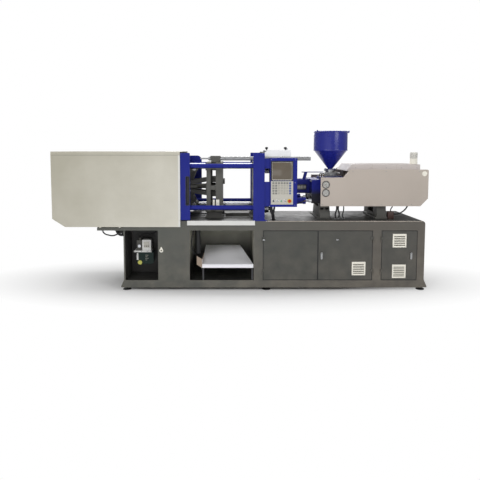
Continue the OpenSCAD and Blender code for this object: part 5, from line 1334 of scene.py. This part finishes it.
    def carriage(self) -> None:
        """Oil fittings and hoses of the carriage cylinders."""
        rings = [(11, 0), (11, 10), (8, 12), (8, 24), (0, 24)]
        run = ((448, 66, 0), (470, 78, -6), (560, 80, -46), (700, 80, -46), (840, 78, -10), (868, 66, 0))
        for side, axis, word in SIDES:
            y, z = side * self.cylinder_y, self.cylinder_z
            places = [(x, y + side * 43, z) for x in (448, 868)]
            finished(rounds("cylinder_fittings_" + word, rings, places, axis, 6), BRASS)
            loop = [(x, y + side * dy, z + dz) for x, dy, dz in run]
            finished(wire("cylinder_hose_" + word, loop, 7), BLACK_RUBBER)

    def build(self) -> None:
        """Makes everything of the injection unit."""
        for step in (self.gauges, self.covers, self.lamp, self.barrel, self.sockets,
                     self.housing, self.carriage):
            step()


@dataclass(frozen=True)
class Feed:
    """Hopper and gate."""

    x: float = 1277.0
    radius: float = 237.0
    joint_z: float = 1883.0
    rim_z: float = 2146.0
    flange_z: float = 1617.0
    bolt_ring: float = 74.0
    seam_turn: float = -28.0
    grip: Point = (1411.0, 28.0, 1551.5)

    def build(self) -> None:
        """Joint band, seam, rim bead, flange bolts and the gate's grips."""
        r = self.radius
        band = [(r - 0.5, -9), (r + 1.4, -9), (r + 2.2, -7), (r + 2.2, 5), (r + 1.4, 7), (r - 0.5, 7)]
        bead = [(r + 2, -16), (r + 6, -13), (r + 7.5, -9), (r + 6, -5), (r + 2, -2)]
        a = math.radians(self.seam_turn)
        seam = (self.x + (r - 1.2) * math.cos(a), (r - 1.2) * math.sin(a), self.joint_z)
        for name, rings, at, sides in (("hopper_band", band, (self.x, 0, self.joint_z), 96),
                                       ("hopper_bead", bead, (self.x, 0, self.rim_z), 96),
                                       ("hopper_seam", [(3.2, 12), (3.2, 240)], seam, 10)):
            finished(turned(name, rings, at, Axis.Z, sides), HOPPER_BLUE, "carriage")
        turns = [math.radians(b) for b in range(30, 390, 60)]
        bolts = [(self.x + self.bolt_ring * math.cos(b), self.bolt_ring * math.sin(b), self.flange_z)
                 for b in turns]
        fixings("hopper_flange_bolts", Fixing.HEX, bolts, Axis.Z, 8, GROUND_STEEL, "carriage")
        x, y, z = self.grip
        rings = [(8, 0), (11, 3), (11, 20), (8, 23), (0, 23)]
        grips = [turned("gate_grips", rings, (x, side * y, z), axis, 20) for side, axis, _ in SIDES]
        finished(joined("gate_grips", grips), BLACK_PLASTIC, "hopper_gate")


@dataclass(frozen=True)
class Hoses:
    """Hoses and cable bundles that the machine holds at both ends."""

    bed: float = 938.3
    panel: float = 1126.7
    bay: float = 810.7
    shelf: float = 809.7
    duct: Point = (-605.0, -330.0, 460.0)
    duct_r: float = 39.0
    duct_length: float = 350.7

    def bundle(self, points: Sequence[Point], radius: float, count: int) -> Piece:
        """Several cables twisted into one bundle round a path."""
        strands = []
        for k in range(count):
            path = []
            for i, (x, y, z) in enumerate(points):
                a = 2 * math.pi * k / count + 0.55 * i
                spread = radius * (0.56 if 0 < i < len(points) - 1 else 0.4)
                path.append((x + spread * math.cos(a), y + spread * math.sin(a), z))
            strands.append(wire("hose", path, radius * 0.42))
        return joined("hose", strands)

    def runs(self) -> list[Piece]:
        """The cable bundles below the panel and the single hoses."""
        bed, panel, bay, shelf = self.bed, self.panel, self.bay, self.shelf
        bundles = (
            (22, 5, ((398, -455, panel), (400, -452, 1090), (402, -450, 1050), (426, -428, 1000),
                     (430, -420, 934))),
            (15, 3, ((440, -470, panel), (436, -469, 1090), (430, -466, 1050), (414, -452, 1000),
                     (422, -440, 934))),
        )
        hoses = (
            (9, ((-1870, -512, shelf), (-1870, -512, 800), (-1846, -512, 764), (-1790, -512, 742),
                 (-1730, -512, 736), (-1680, -512, 752), (-1636, -512, 770), (-1585.3, -512, 770))),
            (16, ((-1690, -480, shelf), (-1690, -480, 800), (-1680, -480, 772), (-1640, -480, 740),
                  (-1610, -480, 738), (-1585.5, -480, 738))),
            (8, ((-656, -430, bay), (-656, -430, 800), (-672, -428, 700), (-684, -426, 620),
                 (-668, -420, 520), (-650, -400, 462), (-645.5, -366, 470))),
            (7, ((-1200, -200, bay), (-1200, -200, 800), (-1206, -206, 740), (-1260, -230, 712),
                 (-1340, -256, 716), (-1394, -276, 708), (-1412, -280, 688), (-1412, -280, 669))),
            (11, ((1290, -370, bed), (1289, -370, 955), (1284, -372, 1010), (1300, -376, 1080),
                  (1296, -378, 1150))),
            (11, ((1330, -344, bed), (1332, -344, 955), (1344, -346, 1000), (1326, -350, 1070),
                  (1334, -352, 1150))),
            (8, ((1400, -330, bed), (1399, -330, 950), (1392, -330, 990), (1404, -336, 1060),
                 (1400, -340, 1150))),
            (7, ((2060, -300, 1036.3), (2060, -300, 1046), (2062, -320, 1080), (2070, -346, 1110),
                 (2066, -356, 1150))),
            (9, ((2100.6, -300, 1000), (2112, -300, 1000), (2160, -306, 1004), (2210, -320, 1030),
                 (2260, -340, 1084), (2290, -350, 1150))),
        )
        made = [self.bundle(path, radius, count) for radius, count, path in bundles]
        made += [wire("hose", path, radius, 4) for radius, path in hoses]
        return [tinted(hose, BLACK_RUBBER) for hose in made]

    def ends(self) -> list[Piece]:
        """The nuts where hoses enter, the ribbed duct and the junction box."""
        bed, (x, y, z) = self.bed, self.duct
        nuts = ((1290, -370, bed, 15), (1330, -344, bed, 15), (1400, -330, bed, 12),
                (-1870, -512, self.shelf - 16, 13), (-1200, -200, self.bay - 14, 10),
                (-656, -430, self.bay - 16, 12))
        made = [tinted(turned("hose", [(r, 0), (r, 9), (r * 0.82, 11), (r * 0.82, 15.8), (0, 15.8)],
                              at, Axis.Z, 6), GROUND_STEEL) for *at, r in nuts]
        r = self.duct_r
        tubes = [turned("hose", [(r, 0), (r, self.duct_length)], self.duct, Axis.Z, 28)]
        rings = [(r, 0), (r + 2.5, 2), (r + 2.5, 6), (r, 8)]
        tubes += [turned("hose", rings, (x, y, z + 10 + 17 * i), Axis.Z, 28) for i in range(20)]
        made += [tinted(tube, BLACK_PLASTIC) for tube in tubes]
        junction = box_piece("hose", (2015, -330, bed), (2100, -270, 1036), 3.0, 3)
        lid = box_piece("hose", (2019, -331.5, bed + 4), (2096, -329.5, 1032), 0.8)
        return made + [tinted(part, JUNCTION_BROWN) for part in (junction, lid)]

    def build(self) -> None:
        """Makes the hoses with their fittings; they stand for the solid hoses."""
        made = joined("machine_hoses", self.runs() + self.ends())
        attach(made, "root")
        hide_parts("hoses")


ASSEMBLIES = (CabinetBase(), Lubricator(), ClampCover(), Guards(), ControlPanel(), Clamp(),
              InjectionUnit(), Feed(), Hoses())


# Camera and studio


@dataclass(frozen=True)
class Lamp:
    """One soft box: its place, what it is aimed at, its size and its power."""

    name: str
    at: Point
    aim: Point
    size: Flat
    power: float

    def hang(self) -> None:
        """Hangs the lamp."""
        bpy.ops.object.light_add(type="AREA", location=self.at)
        lamp = bpy.context.active_object
        lamp.name = self.name
        lamp.data.shape = "RECTANGLE"
        lamp.data.size, lamp.data.size_y = self.size
        lamp.data.energy = self.power
        away = Vector(self.aim) - Vector(self.at)
        lamp.rotation_euler = away.to_track_quat("-Z", "Y").to_euler()


LAMPS = (
    Lamp("key_box", (-3.4, -6.0, 4.6), (0.0, 0.0, 1.1), (3.2, 2.4), 140.0),
    Lamp("fill_box", (4.4, -5.4, 3.4), (0.8, 0.0, 1.2), (2.6, 2.6), 92.0),
    Lamp("low_box", (-0.3, -5.4, 1.0), (-0.3, 0.0, 0.7), (2.4, 1.4), 24.0),
    Lamp("top_box", (0.0, 0.4, 5.2), (0.0, 0.0, 1.0), (6.0, 2.4), 140.0),
    Lamp("back_box", (0.5, 5.5, 3.4), (0.0, 0.0, 1.0), (5.0, 2.4), 112.0),
)


@dataclass(frozen=True)
class Studio:
    """The photograph's camera, the pale floor and the soft lamps."""

    camera_at: Point = (-0.132, -7.05, 1.881)
    pitch: float = 4.4
    focal_px: float = 491.0
    centre_px: Flat = (232.0, 188.0)
    image_px: float = 480.0
    sensor: float = 36.0
    clip: Flat = (0.1, 100.0)
    floor_size: float = 60.0
    floor_cuts: int = 5
    floor_white: float = 0.92
    shadow_shape: Point = (0.28, 0.7, 0.0)
    shadow_fade: Flat = (0.5, 1.1)
    sky_light: float = 0.33

    def camera(self) -> None:
        """Stands the camera where the photograph was taken."""
        turn = (math.radians(90.0 - self.pitch), 0.0, 0.0)
        bpy.ops.object.camera_add(location=self.camera_at, rotation=turn)
        camera = bpy.context.active_object
        camera.name = "photo_camera"
        camera.data.sensor_width = self.sensor
        camera.data.lens = self.focal_px / self.image_px * self.sensor
        camera.data.shift_x = (self.image_px / 2 - self.centre_px[0]) / self.image_px
        camera.data.shift_y = (self.centre_px[1] - self.image_px / 2) / self.image_px
        camera.data.clip_start, camera.data.clip_end = self.clip
        bpy.context.scene.camera = camera

    def floor(self) -> None:
        """Lays a pale floor that keeps the machine's shadow and fades to white."""
        bpy.ops.mesh.primitive_plane_add(size=self.floor_size, location=(0.0, 0.0, -MM))
        floor = bpy.context.active_object
        floor.name = "studio_floor"
        with editing(floor):
            bpy.ops.mesh.subdivide(number_cuts=self.floor_cuts)
        made = bpy.data.materials.new("studio floor")
        made.use_nodes = True
        graph = Graph(made.node_tree)
        tone = self.floor_white
        plain = graph.add("BsdfDiffuse", {"Color": (tone, tone, tone, 1.0)})
        white = graph.add("Emission", {"Color": WHITE, "Strength": 1.0})
        place = graph.add("TexCoord").outputs["Object"]
        away = graph.vector("LENGTH", graph.vector("MULTIPLY", place, self.shadow_shape)[0])["Value"]
        seen = graph.add("LightPath").outputs
        ray = graph.maths("ADD", seen["Is Camera Ray"], seen["Is Glossy Ray"])
        ray = graph.maths("ADD", ray, seen["Is Transmission Ray"])
        share = graph.maths("MULTIPLY", ray, graph.spread(away, self.shadow_fade))
        mixed = graph.add("MixShader", {0: share, 1: plain.outputs[0], 2: white.outputs[0]})
        graph.add("OutputMaterial", {"Surface": mixed.outputs[0]})
        floor.data.materials.append(made)

    def world(self) -> None:
        """White to the camera and through panes, softer as light and in reflections."""
        world = bpy.context.scene.world or bpy.data.worlds.new("studio")
        bpy.context.scene.world = world
        world.use_nodes = True
        graph = Graph(world.node_tree)
        seen = graph.add("LightPath").outputs
        ray = graph.maths("ADD", seen["Is Camera Ray"], seen["Is Transmission Ray"])
        light = graph.add("Background", {"Color": WHITE, "Strength": self.sky_light})
        white = graph.add("Background", {"Color": WHITE, "Strength": 1.0})
        mixed = graph.add("MixShader", {0: ray, 1: light.outputs[0], 2: white.outputs[0]})
        graph.add("OutputWorld", {"Surface": mixed.outputs[0]})

    def build(self) -> None:
        """Floor, world and lamps; the camera is made first of all."""
        self.floor()
        self.world()
        for lamp in LAMPS:
            lamp.hang()
        bpy.context.scene.view_settings.view_transform = "Standard"


def main() -> None:
    """Builds the sub-assemblies in order and reports each."""
    logging.basicConfig(level=logging.INFO, format="%(message)s")
    studio = Studio()
    studio.camera()
    for coat in COATS:
        for node in coat.nodes.split():
            PIECES[node] = refined(node, coat.finish, coat.edge) if coat.edge else dressed(node, coat.finish)
    log.info("carried-over solids: %d", len(PIECES))
    for assembly in ASSEMBLIES:
        assembly.build()
        log.info("%s", assembly.__class__.__name__)
    studio.build()


if __name__ == "__main__":
    main()
